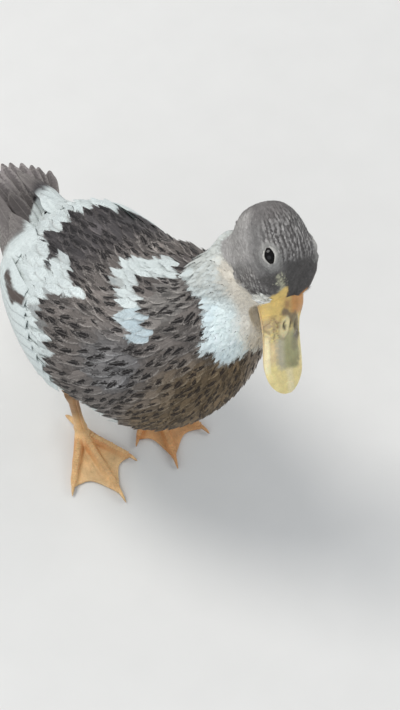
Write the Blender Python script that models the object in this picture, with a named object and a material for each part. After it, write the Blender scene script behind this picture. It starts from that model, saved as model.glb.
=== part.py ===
"""Silver appleyard duck, life size, standing on a floor with its head turned to its right and tipped.

Metres, +Z up. The bird faces -Y, its left side is at +X, and the floor is at z = 0. Sizes in the
tables are millimetres. Places on the bird are given as forward, left and up of a point on the floor
between the feet, and FOOTPRINT_FORWARD and FOOTPRINT_LEFT carry that point to the model's origin.
"""

import math

import bmesh
import bpy
import numpy as np
from mathutils import Matrix, Vector

MM = 0.001
GAP = 0.3
FOOTPRINT_FORWARD = 3.1
FOOTPRINT_LEFT = 5.1

# Rows of the body, from the root of the tail to the base of the neck: forward, height and leftward
# place of the section's centre, half width, half depth above and below it, and its pitch in degrees.
TORSO_ROWS = (
    (-76, 103, 0, 27, 15, 15, 2),
    (-61, 103, 0, 37, 27, 27, 8),
    (-39, 104, 0, 45, 38, 39, 16),
    (-12, 106, 0, 51, 47, 47, 23),
    (18, 112, 0, 54, 50, 54, 29),
    (46, 123, 1, 51, 49, 55, 37),
    (67, 143, 5, 44, 42, 48, 48),
    (81, 163, 13, 36, 33, 38, 58),
    (88, 182, 23, 30, 26, 29, 66),
)
TORSO_RINGS = 25
TORSO_SIDES = 28
TORSO_SQUARENESS = 2.15

# The neck goes on from the torso's last row, and its last row lies inside the head.
NECK_ROWS = (
    TORSO_ROWS[-1],
    (90, 195, 32, 25, 25, 22, 74),
    (90, 207, 40, 22, 24, 18, 80),
    (90, 222, 45, 18, 20, 15, 84),
)
NECK_RINGS = 9
NECK_SIDES = 22

# The head's own axes start at its middle, between the eyes: ahead, above, half width, half depth
# above and below. The first row is the back of the head and the last is the root of the bill.
HEAD_PLACE = (98, 47, 218)
HEAD_TURN_RIGHT = 17
HEAD_NOD = 36
HEAD_TIP_LEFT = 27
HEAD_ROWS = (
    (-31, 0, 4, 4, 4),
    (-28.5, 0, 12.5, 11, 13),
    (-19, 0, 20, 17.5, 21),
    (-5, 0, 23.5, 20, 24),
    (6, 0, 22.5, 19.5, 23.5),
    (14.5, -3, 18.5, 16, 19),
    (20.5, -6.2, 15, 12.2, 14.2),
    (24, -8.6, 13, 9.6, 10.4),
)
HEAD_RINGS = 14
HEAD_SIDES = 22

EYE_AHEAD = 1
EYE_ABOVE = 9.8
EYE_SIDE = 15.3
EYE_TILT = 38
EYE_RADIUS = 5.2
LID_RADIUS = 5.3
LID_WIRE = 1.1

# Rows of the bill on the head's axes: ahead, top, bottom, half width.
UPPER_BILL_ROWS = (
    (24.3, 0.4, -13.5, 12.8),
    (31, -2.6, -14.6, 12.1),
    (39, -7.2, -16.2, 12.1),
    (47, -11.0, -17.8, 12.9),
    (56, -14.2, -19.3, 14.3),
    (65, -16.5, -20.4, 14.7),
    (71, -18.0, -21.0, 12.0),
    (74, -19.4, -21.0, 5.5),
)
LOWER_BILL_ROWS = (
    (24.3, -13.8, -19.0, 11.2),
    (31, -14.9, -20.2, 10.9),
    (39, -16.5, -21.2, 11.0),
    (47, -18.1, -22.0, 11.7),
    (56, -19.6, -22.6, 13.0),
    (65, -20.7, -22.9, 13.1),
    (70, -21.2, -22.9, 9.6),
    (72, -21.3, -22.4, 4.4),
)
BILL_SIDES = 16
NOSTRIL_AHEAD = 40
NOSTRIL_SIDE = 4.4
NOSTRIL_LENGTH = 8.0
NOSTRIL_WIDTH = 2.6
NAIL_LENGTH = 8.0
NAIL_WIDTH = 7.0

# The folded wing lies on the torso: the body row it is over, the angle down from the spine of its
# upper and its lower edge, and how thick it is. Rows below 0 are over the tail.
WING_GUIDE_ROWS = (
    (-128, 110, 0, 22, 9, 11, 0),
    (-102, 107, 0, 25, 12, 12, 0),
)
WING_ROWS = (
    (6.5, 60, 82, 1.5),
    (6.0, 44, 99, 4),
    (5.0, 27, 107, 6),
    (4.0, 20, 108, 6),
    (3.0, 16, 103, 5),
    (2.0, 13, 95, 4),
    (1.0, 13, 84, 3),
    (0.0, 16, 72, 2.2),
    (-0.6, 22, 56, 1.6),
)
WING_LENGTHS = 15
WING_BREADTHS = 7

# Tiers of vanes on the wing, lowest first: how many, body row and angle of the roots and the tips of
# the lowest and the highest vane, half width, and how far the tier stands over the shell.
WING_TIERS = {
    "primaries": (4, (1.5, 72), (1.7, 50), (-0.75, 54), (-1.75, 26), 5.2, 0.4),
    "secondaries": (5, (3.1, 98), (2.9, 62), (0.9, 82), (0.0, 50), 7.6, 0.7),
    "tertials": (3, (3.8, 56), (3.7, 28), (0.9, 47), (-0.4, 25), 9.4, 1.2),
    "coverts": (6, (4.5, 102), (4.3, 48), (2.8, 97), (2.1, 50), 7.2, 1.5),
}
# Each vane's breadth and depth under the shell along its length, as shares, from root to tip.
VANE_STATIONS = ((0.0, 0.5, 1.0), (0.28, 0.9, 0.25), (0.6, 1.0, 0.0), (0.86, 0.78, 0.0), (1.0, 0.24, 0.0))
VANE_SINK = 2.6
VANE_RISE = 1.8
VANE_THICK = 0.7
BEDDED_VANE_THICK = 2.6

TAIL_ROWS = (
    (-76.3, 103, 0, 26.6, 14.6, 14.6, 2),
    (-87, 103, 0, 24, 9, 12, -6),
    (-98, 103.5, 0, 21, 5, 8.5, -10),
    (-108, 104.5, 0, 17, 2.4, 5, -12),
    (-114, 105.4, 0, 12, 0.8, 2.4, -12),
)
TAIL_RINGS = 9

# The tail's vanes spread from a point: its place, then for each tier the count, the swing of the
# outermost in degrees, the distances to root and tip, half width, and the height of the middle one.
TAIL_FAN = (-66, 0, 101.5)
TAIL_PITCH = 9
TAIL_TIERS = {
    "rectrices": (9, 31, 26, 76, 7.4, 1.6),
    "coverts": (5, 26, 20, 48, 7.0, 4.4),
}
TAIL_VANE_DROP = 1.0
TAIL_VANE_THICK = 0.6

# Each leg: where the toes meet, the way the foot points right of ahead in degrees, and the ankle.
FEET = {
    "right": {"heel": (-1, -28), "points": 6, "ankle": (-2, -32, 50), "hip": (-14, -32, 84)},
    "left": {"heel": (1, 28), "points": 20, "ankle": (-2, 31, 50), "hip": (-14, 32, 84)},
}


def on_bird(forward, left, up):
    """A point forward, left and up of the middle of the stance, in millimetres, as a place in the model."""
    return Vector((left - FOOTPRINT_LEFT, FOOTPRINT_FORWARD - forward, up)) * MM


def clear_scene():
    for old in list(bpy.data.objects):
        bpy.data.objects.remove(old, do_unlink=True)


def collection_named(name):
    made = bpy.data.collections.new(name)
    bpy.context.scene.collection.children.link(made)
    return made


def material_named(name, colour, roughness):
    """A Principled material of one sRGB hex colour."""
    made = bpy.data.materials.new(name)
    made.use_nodes = True
    parts = [int(colour[i : i + 2], 16) / 255 for i in (1, 3, 5)]
    linear = [c / 12.92 if c <= 0.04045 else ((c + 0.055) / 1.055) ** 2.4 for c in parts]
    shader = made.node_tree.nodes["Principled BSDF"]
    shader.inputs["Base Color"].default_value = (*linear, 1)
    shader.inputs["Roughness"].default_value = roughness
    made.diffuse_color = (*linear, 1)
    return made


def smooth_rows(rows, count):
    """The table's rows as count rows on a smooth curve through them."""
    table = np.array(rows, float)
    return [row_at(table, t) for t in np.linspace(0, len(table) - 1, count)]


def row_at(table, t):
    """The table's row at t, where whole numbers are its own rows, by a Catmull-Rom curve."""
    last = len(table) - 1
    i = int(min(max(math.floor(t), 0), last - 1))
    f = t - i
    p1, p2 = table[i], table[i + 1]
    p0 = table[i - 1] if i > 0 else 2 * p1 - p2
    p3 = table[i + 2] if i + 2 <= last else 2 * p2 - p1
    return 0.5 * (
        2 * p1 + (p2 - p0) * f + (2 * p0 - 5 * p1 + 4 * p2 - p3) * f * f + (3 * p1 - p0 - 3 * p2 + p3) * f**3
    )


def rounded(x, squareness):
    return math.copysign(abs(x) ** (2 / squareness), x)


def body_point(row, angle, grow=0.0):
    """The point at angle round a body section, 0 at the spine and 90 degrees on the left side."""
    forward, height, left, half_width, above, below, pitch = row
    across = rounded(math.sin(angle), TORSO_SQUARENESS) * (half_width + grow)
    rise = rounded(math.cos(angle), TORSO_SQUARENESS)
    rise *= (above if rise > 0 else below) + grow
    tilt = math.radians(pitch)
    return Vector((forward - math.sin(tilt) * rise, left + across, height + math.cos(tilt) * rise))


def body_ring(row, sides, grow=0.0):
    return [on_bird(*body_point(row, 2 * math.pi * k / sides, grow)) for k in range(sides)]


def mesh_object(name, points, faces, material=None):
    """A closed mesh with its faces turned outwards."""
    mesh = bpy.data.meshes.new(name)
    mesh.from_pydata([tuple(p) for p in points], [], faces)
    work = bmesh.new()
    work.from_mesh(mesh)
    bmesh.ops.recalc_face_normals(work, faces=work.faces)
    if work.calc_volume(signed=True) < 0:
        bmesh.ops.reverse_faces(work, faces=work.faces)
    work.to_mesh(mesh)
    work.free()
    made = bpy.data.objects.new(name, mesh)
    bpy.context.scene.collection.objects.link(made)
    if material:
        mesh.materials.append(material)
    return made


def loft(name, rings, material=None):
    """A closed body through rings of equally many points, with flat ends."""
    sides = len(rings[0])
    points = [p for ring in rings for p in ring]
    faces = [tuple(range(sides)), tuple(range(len(points) - sides, len(points)))]
    for i in range(len(rings) - 1):
        for k in range(sides):
            a, b = i * sides + k, i * sides + (k + 1) % sides
            faces.append((a, b, b + sides, a + sides))
    return mesh_object(name, points, faces, material)


def tube(name, places, radii, sides=10, flatten=1.0, material=None):
    """A closed tube of changing radius through places on the bird."""
    middles = [on_bird(*p) for p in places]
    rings = []
    for i, (middle, radius) in enumerate(zip(middles, radii)):
        ahead = (middles[min(i + 1, len(middles) - 1)] - middles[max(i - 1, 0)]).normalized()
        side = ahead.cross(Vector((0, 0, 1)))
        if side.length < 0.2:
            side = Vector((1, 0, 0)) - ahead * ahead.x
        side.normalize()
        over = side.cross(ahead)
        ring = []
        for k in range(sides):
            turn = 2 * math.pi * k / sides
            reach = side * math.cos(turn) + over * math.sin(turn) * flatten
            ring.append(middle + reach * radius * MM)
        rings.append(ring)
    return loft(name, rings, material)


def evaluated_mesh(obj):
    graph = bpy.context.evaluated_depsgraph_get()
    return bpy.data.meshes.new_from_object(obj.evaluated_get(graph), depsgraph=graph)


def remove(*objects):
    for obj in objects:
        bpy.data.objects.remove(obj, do_unlink=True)


def keep_largest_surface(mesh):
    """Leaves only the closed surface that holds the most, so a sealed hollow or a scrap goes."""
    work = bmesh.new()
    work.from_mesh(mesh)
    seen = set()
    islands = []
    for start in work.faces:
        if start in seen:
            continue
        island, stack = [], [start]
        seen.add(start)
        while stack:
            face = stack.pop()
            island.append(face)
            for edge in face.edges:
                for other in edge.link_faces:
                    if other not in seen:
                        seen.add(other)
                        stack.append(other)
        islands.append(island)
    islands.sort(key=lambda island: sum(face.calc_area() for face in island))
    spare = {face for island in islands[:-1] for face in island}
    bmesh.ops.delete(work, geom=list(spare), context="FACES")
    loose = [v for v in work.verts if not v.link_faces]
    bmesh.ops.delete(work, geom=loose, context="VERTS")
    work.to_mesh(mesh)
    work.free()


def boolean(obj, others, operation, solver="EXACT"):
    """Joins the others to obj, or cuts them from it, and removes them."""
    group = bpy.data.collections.new("pieces")
    for other in others:
        group.objects.link(other)
    modifier = obj.modifiers.new("boolean", "BOOLEAN")
    modifier.operation = operation
    modifier.operand_type = "COLLECTION"
    modifier.collection = group
    modifier.solver = solver
    material = obj.data.materials[0] if obj.data.materials else None
    mesh = evaluated_mesh(obj)
    obj.modifiers.clear()
    obj.data = mesh
    mesh.materials.clear()
    if material:
        mesh.materials.append(material)
    bpy.data.collections.remove(group)
    remove(*others)
    keep_largest_surface(mesh)
    return obj


def make_torso(material, grow=0.0):
    rings = [body_ring(row, TORSO_SIDES, grow) for row in smooth_rows(TORSO_ROWS, TORSO_RINGS)]
    return loft("torso", rings, material)


def make_neck(material):
    """The neck starts a gap above the torso's flat end and is cut to fit under the head."""
    rows = smooth_rows(NECK_ROWS, NECK_RINGS)
    tilt = math.radians(rows[0][6])
    rows[0] = rows[0] + np.array((GAP * math.cos(tilt), GAP * math.sin(tilt), 0, 0, 0, 0, 0))
    neck = loft("neck", [body_ring(row, NECK_SIDES) for row in rows], material)
    return boolean(neck, [head_form("head_room", GAP), bill_room(2.2)], "DIFFERENCE")


def bill_room(grow):
    """The whole bill's outline made larger, to keep the neck clear of it."""
    rings = []
    for upper, lower in zip(smooth_rows(UPPER_BILL_ROWS, 14), smooth_rows(LOWER_BILL_ROWS, 14)):
        middle, half = (upper[1] + lower[2]) / 2, (upper[1] - lower[2]) / 2 + grow
        width = upper[3] + grow
        turns = [2 * math.pi * k / BILL_SIDES for k in range(BILL_SIDES)]
        rings.append([on_head(upper[0], width * math.sin(a), middle + half * math.cos(a)) for a in turns])
    rings.insert(0, [on_head(-6, 0, 8) + p - on_head(0, 0, 0) for p in rings[0]])
    return loft("bill_room", rings)


def head_axes():
    """The matrix from the head's own axes (ahead, left, above) to the model."""
    turn = Matrix.Rotation(math.radians(-90 - HEAD_TURN_RIGHT), 4, "Z")
    nod = Matrix.Rotation(math.radians(HEAD_NOD), 4, "Y")
    tip = Matrix.Rotation(math.radians(-HEAD_TIP_LEFT), 4, "X")
    return Matrix.Translation(on_bird(*HEAD_PLACE)) @ turn @ nod @ tip


def on_head(ahead, left, above):
    return head_axes() @ (Vector((ahead, left, above)) * MM)


def head_form(name, grow=0.0, material=None):
    rings = []
    for ahead, middle, half_width, above, below in smooth_rows(HEAD_ROWS, HEAD_RINGS):
        ring = []
        for k in range(HEAD_SIDES):
            angle = 2 * math.pi * k / HEAD_SIDES
            rise = math.cos(angle) * ((above if math.cos(angle) > 0 else below) + grow)
            ring.append(on_head(ahead, math.sin(angle) * (half_width + grow), middle + rise))
        rings.append(ring)
    return loft(name, rings, material)


def ball(name, middle, radii, across=16, up=10):
    """A closed ellipsoid on the head's axes."""
    work = bmesh.new()
    bmesh.ops.create_uvsphere(work, u_segments=across, v_segments=up, radius=MM)
    shape = head_axes() @ Matrix.Translation(Vector(middle) * MM) @ Matrix.Diagonal((*radii, 1))
    bmesh.ops.transform(work, matrix=shape, verts=work.verts)
    mesh = bpy.data.meshes.new(name)
    work.to_mesh(mesh)
    work.free()
    made = bpy.data.objects.new(name, mesh)
    bpy.context.scene.collection.objects.link(made)
    return made


def lid_ring(side):
    """A raised ring of skin round the eye, on the head's axes."""
    tilt = math.radians(EYE_TILT)
    facing = Vector((0, side * math.cos(tilt), math.sin(tilt)))
    rise = Vector((0, -side * math.sin(tilt), math.cos(tilt)))
    rings = []
    for i in range(16):
        turn = 2 * math.pi * i / 16
        out = Vector((math.cos(turn) * 1.08, 0, 0)) + rise * math.sin(turn)
        middle = Vector((EYE_AHEAD, side * EYE_SIDE, EYE_ABOVE)) + facing * 3.2 + out * LID_RADIUS
        ring = []
        for k in range(6):
            around = 2 * math.pi * k / 6
            reach = out * math.cos(around) + facing * 1.8 * math.sin(around)
            ring.append(on_head(*(middle + reach * LID_WIRE)))
        rings.append(ring)
    points = [p for ring in rings for p in ring]
    faces = []
    for i in range(16):
        for k in range(6):
            a, b = i * 6 + k, i * 6 + (k + 1) % 6
            c, d = (i + 1) % 16 * 6 + (k + 1) % 6, (i + 1) % 16 * 6 + k
            faces.append((a, b, c, d))
    return mesh_object("lid", points, faces)


def make_head(material):
    head = head_form("head", 0.0, material)
    boolean(head, [lid_ring(1), lid_ring(-1)], "UNION")
    sockets = [
        ball("socket", (EYE_AHEAD, side * EYE_SIDE, EYE_ABOVE), (EYE_RADIUS + GAP,) * 3) for side in (1, -1)
    ]
    return boolean(head, sockets, "DIFFERENCE")


def make_eye(name, side, material):
    eye = ball(name, (EYE_AHEAD, side * EYE_SIDE, EYE_ABOVE), (EYE_RADIUS,) * 3, 16, 10)
    eye.data.materials.append(material)
    return eye


def bill_ring(row, arch):
    """A section of the bill: arch 1 has its round side up, and -1 down."""
    ahead, top, bottom, half_width = row
    ring = []
    flat, crown = (bottom, top) if arch > 0 else (top, bottom)
    for k in range(BILL_SIDES):
        angle = 2 * math.pi * k / BILL_SIDES
        across = math.sin(angle) * half_width
        height = math.cos(angle)
        if height > 0:
            rise = flat + (crown - flat) * (0.12 + 0.88 * height**0.8)
        else:
            rise = flat + (crown - flat) * 0.12 * (1 + height)
        ring.append(on_head(ahead, across, rise))
    return ring


def make_upper_bill(material):
    """The upper half of the bill, with its nostrils and the nail at its tip."""
    rows = smooth_rows(UPPER_BILL_ROWS, 14)
    bill = loft("bill_upper", [bill_ring(row, 1) for row in rows], material)
    tip_top = UPPER_BILL_ROWS[-2][1]
    nail = ball(
        "nail",
        (UPPER_BILL_ROWS[-1][0] - NAIL_LENGTH / 2, 0, tip_top - 1.2),
        (NAIL_LENGTH / 2, NAIL_WIDTH / 2, 1.7),
        12,
        8,
    )
    boolean(bill, [nail], "UNION")
    nostrils = []
    for side in (1, -1):
        cutter = ball(
            "nostril",
            (NOSTRIL_AHEAD, side * (NOSTRIL_SIDE + 1.0), -9.6),
            (NOSTRIL_LENGTH / 2, 2.2, NOSTRIL_WIDTH / 2),
            12,
            8,
        )
        nostrils.append(cutter)
    return boolean(bill, nostrils, "DIFFERENCE")


def make_lower_bill(material):
    rows = smooth_rows(LOWER_BILL_ROWS, 12)
    return loft("bill_lower", [bill_ring(row, -1) for row in rows], material)


def wing_sheet(side, t, angle, lift):
    """A place lift above the body at body row t, angle degrees down from the spine on that side."""
    table = np.array(WING_GUIDE_ROWS + TORSO_ROWS, float)
    row = row_at(table, t + len(WING_GUIDE_ROWS))
    return on_bird(*body_point(row, side * math.radians(angle), lift))


def wing_shell_lift(t, angle):
    """How far the wing's shell stands over the body at body row t and that angle."""
    table = np.array(WING_ROWS[::-1], float)
    upper, lower, thick = (np.interp(t, table[:, 0], table[:, k]) for k in (1, 2, 3))
    across = min(max((angle - upper) / (lower - upper), 0), 1)
    return 2.2 * GAP + thick * shell_swell(across)


def shell_swell(across):
    return 0.15 + 0.85 * math.sin(math.pi * across) ** 0.6


def vane_mesh(name, rings):
    """A closed vane through six-sided sections, with the same diagonals on its two faces."""
    points = [p for ring in rings for p in ring]
    faces = [(0, 1, 4), (0, 4, 5), (1, 2, 3), (1, 3, 4)]
    last = len(points) - 6
    faces += [tuple(last + k for k in face) for face in faces]
    for i in range(len(rings) - 1):
        a, b = i * 6, i * 6 + 6
        for near, far in ((0, 1), (5, 4), (1, 2), (4, 3), (2, 3), (0, 5)):
            faces += [(a + near, a + far, b + far), (a + near, b + far, b + near)]
    return mesh_object(name, points, faces)


def wing_vane(side, root, tip, half_width, stand, thick):
    """One vane of a folded wing. Its lower edge lies over its neighbour's upper edge."""
    rings = []
    for along, breadth, sunk in VANE_STATIONS:
        t = root[0] + (tip[0] - root[0]) * along
        angle = root[1] + (tip[1] - root[1]) * along
        degree = (wing_sheet(side, t, angle + 1, 3) - wing_sheet(side, t, angle, 3)).length / MM
        span = half_width * breadth / degree
        base = wing_shell_lift(t, angle) + stand - VANE_SINK * sunk
        ring = [(-span, base), (0, base + VANE_RISE * 0.5 + 0.3), (span, base + VANE_RISE)]
        ring += [(offset, lift - thick) for offset, lift in ring[::-1]]
        rings.append([wing_sheet(side, t, angle + offset, lift) for offset, lift in ring])
    return vane_mesh("vane", rings)


def make_wing(name, side, material):
    """One folded wing: a shell that is thick in the middle and thin at its edges, with its vanes."""
    outer, inner = [], []
    for t, upper, lower, thick in smooth_rows(WING_ROWS, WING_LENGTHS):
        for j in range(WING_BREADTHS + 1):
            across = j / WING_BREADTHS
            angle = upper + (lower - upper) * across
            inner.append(wing_sheet(side, t, angle, -2.5))
            outer.append(wing_sheet(side, t, angle, 2.2 * GAP + thick * shell_swell(across)))
    points = inner + outer
    half = len(inner)
    wide = WING_BREADTHS + 1
    faces = []
    for i in range(WING_LENGTHS - 1):
        for j in range(WING_BREADTHS):
            a, b = i * wide + j, i * wide + j + 1
            c, d = b + wide, a + wide
            faces += [(a, b, c), (a, c, d), (half + a, half + b, half + c), (half + a, half + c, half + d)]
    border = [i * wide for i in range(WING_LENGTHS)]
    border += [(WING_LENGTHS - 1) * wide + j for j in range(1, wide)]
    border += [i * wide + WING_BREADTHS for i in range(WING_LENGTHS - 2, -1, -1)]
    border += list(range(WING_BREADTHS - 1, 0, -1))
    for a, b in zip(border, border[1:] + border[:1]):
        faces.append((a, b, half + b, half + a))
    wing = mesh_object(name, points, faces, material)
    vanes = []
    for tier, (count, low_root, high_root, low_tip, high_tip, half_width, stand) in WING_TIERS.items():
        thick = VANE_THICK if tier == "primaries" else BEDDED_VANE_THICK
        for k in range(count):
            share = k / (count - 1)
            root, tip = Vector(low_root).lerp(high_root, share), Vector(low_tip).lerp(high_tip, share)
            vanes.append(wing_vane(side, root, tip, half_width, stand, thick))
    boolean(wing, vanes, "UNION")
    return boolean(wing, [trunk_form(GAP)], "DIFFERENCE")


def trunk_form(grow):
    """The torso and the tail as one body, made larger all round, which the wings lie against."""
    rows = smooth_rows(TAIL_ROWS, TAIL_RINGS)[::-1] + smooth_rows(TORSO_ROWS, TORSO_RINGS)
    return loft("trunk", [body_ring(row, TORSO_SIDES, grow) for row in rows])


def tail_vane(swing, near, far, half_width, height):
    """One vane of the fan, swing degrees to the left of straight back."""
    turn, pitch = math.radians(swing), math.radians(TAIL_PITCH)
    back = Vector((-math.cos(turn) * math.cos(pitch), math.sin(turn), math.cos(turn) * math.sin(pitch)))
    across = Vector((math.sin(turn), math.cos(turn), -math.sin(2 * turn) * 0.12)).normalized()
    up = back.cross(across)
    up = up if up.z > 0 else -up
    rings = []
    for along, breadth in ((0.0, 0.5), (0.3, 0.75), (0.62, 1.0), (0.88, 0.86), (1.0, 0.3)):
        middle = Vector(TAIL_FAN) + back * (near + (far - near) * along) + up * height
        wide = across * half_width * breadth
        ring = [middle - wide, middle + up * 0.3, middle + wide]
        ring += [p - up * TAIL_VANE_THICK for p in ring[::-1]]
        rings.append([on_bird(*p) for p in ring])
    return vane_mesh("vane", rings)


def make_tail(material):
    """The root of the tail with its fan: each vane is lower than the next one inwards."""
    rings = [body_ring(row, TORSO_SIDES) for row in smooth_rows(TAIL_ROWS, TAIL_RINGS)]
    tail = loft("tail", rings, material)
    vanes = []
    for count, widest, near, far, half_width, height in TAIL_TIERS.values():
        middle = count // 2
        for k in range(-middle, middle + 1):
            lower = max(0, 2 * abs(k) - (k > 0)) * TAIL_VANE_DROP
            reach = far - 1.3 * k * k * (4 / middle) ** 2 * 0.5
            vanes.append(tail_vane(widest * k / middle, near, reach, half_width, height - lower))
    return boolean(tail, vanes, "UNION")


def make_thigh(name, side, leg, material):
    """The feathered thigh, cut to lie against the belly, ending at the ankle."""
    ankle, hip = Vector(leg["ankle"]), Vector(leg["hip"])
    axis = (ankle - hip).normalized()
    end = ankle - axis * (4 + GAP)
    places = [hip, hip.lerp(end, 0.35), hip.lerp(end, 0.7), end]
    thigh = tube(name, places, (22, 20, 12.5, 5.6), 16, material=material)
    return boolean(thigh, [make_torso(None, GAP)], "DIFFERENCE")


def make_shank(name, leg, material):
    """The bare tarsus with its ankle joint."""
    ankle, hip = Vector(leg["ankle"]), Vector(leg["hip"])
    knuckle = Vector((*leg["heel"], 9.5))
    up = (ankle - hip).normalized()
    down = (knuckle - ankle).normalized()
    places = [
        ankle - up * 4,
        ankle - up * 1.5,
        ankle + down * 3,
        ankle.lerp(knuckle, 0.3),
        ankle.lerp(knuckle, 0.7),
        knuckle - down * (1.5 + GAP),
    ]
    return tube(name, places, (5.0, 5.6, 5.0, 3.4, 3.3, 4.0), 12, material=material)


def make_foot(name, side, leg, material):
    """A webbed foot: three toes, the web between them, claws and the small hind toe."""
    heel = Vector((*leg["heel"], 0))
    knuckle = Vector((*leg["heel"], 9.5))
    down = (knuckle - Vector(leg["ankle"])).normalized()
    points = leg["points"]

    def reach(length, swing, up):
        """A place at length from the heel, swing degrees outwards of the way that the foot points."""
        turn = math.radians(points + swing * side * -1)
        return heel + Vector((math.cos(turn) * length, -math.sin(turn) * length, up))

    toes = ((-30, 37), (0, 53), (34, 42))
    pieces = []
    for swing, length in toes:
        places = [knuckle + Vector((0, 0, -3.4))]
        places += [reach(length * k, swing, 3.4 - 1.2 * k) for k in (0.28, 0.42, 0.56, 0.72, 0.88, 1.0)]
        pieces.append(tube("toe", places, (3.8, 3.3, 3.0, 3.1, 2.5, 2.5, 1.7), 10))
        claw = [reach(length * k, swing, up) for k, up in ((0.93, 3.0), (1.04, 3.4), (1.12, 2.4), (1.17, 1.0))]
        pieces.append(tube("claw", claw, (1.5, 1.3, 0.9, 0.35), 8))
    hind = [knuckle + Vector((0, 0, -1)), reach(-9, -8, 7), reach(-14, -8, 5), reach(-17, -8, 3.4)]
    pieces.append(tube("hind_toe", hind, (2.4, 2.0, 1.5, 0.6), 8))
    stump = [knuckle - down * 1.5, knuckle, knuckle + down * 4]
    foot = tube(name, stump, (4.0, 4.6, 4.2), 12, material=material)
    edge = [reach(8, -40, 0)]
    for (swing, length), (later, longer) in zip(toes, toes[1:]):
        for k in range(7):
            part = k / 6
            sag = 1 - 0.2 * math.sin(math.pi * part)
            span = (length + (longer - length) * part) * sag
            edge.append(reach(span, swing + (later - swing) * part, 0))
    edge.append(reach(8, 40, 0))
    low = [on_bird(p.x, p.y, 0.4) for p in edge]
    high = [on_bird(p.x, p.y, 2.0) for p in edge]
    pieces.append(loft("web", [low, high]))
    boolean(foot, pieces, "UNION")
    floor = mesh_object(*box_of("floor", (-200, -200, -20), (300, 200, 0)))
    return boolean(foot, [floor], "DIFFERENCE")


def box_of(name, low, high):
    """The name, points and faces of a box between two corners on the bird."""
    corners = [on_bird(x, y, z) for x in (low[0], high[0]) for y in (low[1], high[1]) for z in (low[2], high[2])]
    faces = [(0, 1, 3, 2), (4, 6, 7, 5), (0, 4, 5, 1), (2, 3, 7, 6), (0, 2, 6, 4), (1, 5, 7, 3)]
    return name, corners, faces


def finish(duck, obj, smooth=True):
    """Puts a finished piece in the duck's collection and shades it."""
    for old in list(obj.users_collection):
        old.objects.unlink(obj)
    duck.objects.link(obj)
    if smooth:
        obj.data.shade_smooth()
        obj.data.set_sharp_from_angle(angle=math.radians(40))
    return obj


def main():
    clear_scene()
    duck = collection_named("silver_appleyard_duck")
    mottled = material_named("mottled_feather", "#6f675f", 0.85)
    white = material_named("white_feather", "#d9dfdc", 0.85)
    head_grey = material_named("grey_brown_feather", "#6d6a68", 0.8)
    bill_yellow = material_named("bill_horn", "#c9a144", 0.45)
    leg_orange = material_named("leg_skin", "#d69a4e", 0.55)
    eye_dark = material_named("eye", "#1d1a18", 0.1)
    tail_grey = material_named("tail_feather", "#7b736d", 0.8)

    finish(duck, make_torso(mottled))
    finish(duck, make_neck(white))
    finish(duck, make_head(head_grey))
    finish(duck, make_upper_bill(bill_yellow))
    finish(duck, make_lower_bill(bill_yellow))
    finish(duck, make_tail(tail_grey))
    for name, side in (("left", 1), ("right", -1)):
        finish(duck, make_eye("eye_" + name, side, eye_dark))
        finish(duck, make_wing("wing_" + name, side, mottled))
        finish(duck, make_thigh("thigh_" + name, side, FEET[name], mottled))
        finish(duck, make_shank("shank_" + name, FEET[name], leg_orange))
        finish(duck, make_foot("foot_" + name, side, FEET[name], leg_orange))


main()
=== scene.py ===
"""Dresses the silver appleyard duck: plumage, bill, eyes, legs and feet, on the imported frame.

Places on the bird are millimetres forward, left and up of a point on the floor between its feet.
"""

import math
from itertools import product

import bmesh
import bpy
import numpy as np
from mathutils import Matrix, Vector
from mathutils.bvhtree import BVHTree
from mathutils.kdtree import KDTree


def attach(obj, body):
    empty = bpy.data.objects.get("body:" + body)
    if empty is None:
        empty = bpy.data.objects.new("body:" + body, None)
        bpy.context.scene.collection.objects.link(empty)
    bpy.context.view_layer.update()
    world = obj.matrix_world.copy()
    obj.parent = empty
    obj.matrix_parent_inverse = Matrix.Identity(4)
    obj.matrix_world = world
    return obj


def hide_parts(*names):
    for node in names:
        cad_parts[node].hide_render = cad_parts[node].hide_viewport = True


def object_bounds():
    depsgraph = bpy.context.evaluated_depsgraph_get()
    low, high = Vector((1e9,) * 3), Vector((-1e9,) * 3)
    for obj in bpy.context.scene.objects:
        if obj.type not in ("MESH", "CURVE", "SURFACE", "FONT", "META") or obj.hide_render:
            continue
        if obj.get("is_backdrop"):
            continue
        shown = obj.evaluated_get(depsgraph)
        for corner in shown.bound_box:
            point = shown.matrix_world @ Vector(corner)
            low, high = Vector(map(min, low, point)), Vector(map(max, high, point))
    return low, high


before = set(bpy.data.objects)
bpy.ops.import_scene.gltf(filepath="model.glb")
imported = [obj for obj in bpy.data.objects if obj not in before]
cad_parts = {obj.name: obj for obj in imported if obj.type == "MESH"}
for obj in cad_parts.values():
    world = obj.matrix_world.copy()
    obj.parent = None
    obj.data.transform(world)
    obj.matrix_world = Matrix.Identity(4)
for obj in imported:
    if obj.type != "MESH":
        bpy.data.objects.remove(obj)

bl_info = {
    "name": "Silver appleyard duck",
    "version": (1, 0, 0),
    "blender": (4, 5, 0),
    "location": "View3D > Sidebar > Duck",
    "description": "Plumage, bill, eyes, legs and feet of a standing duck",
    "category": "Object",
}

CAD_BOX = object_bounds()
ROOT = "root"
MM = 0.001
SIDES = (("left", 1), ("right", -1))
# The model's origin in bird millimetres, forward and left.
FOOTPRINT = np.array((3.1, 5.1))
HEAD_PLACE = np.array((98.0, 47.0, 218.0))
# The head's turn to its right, its nod and its tip, in degrees.
HEAD_ANGLES = (17, 36, 27)

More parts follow.
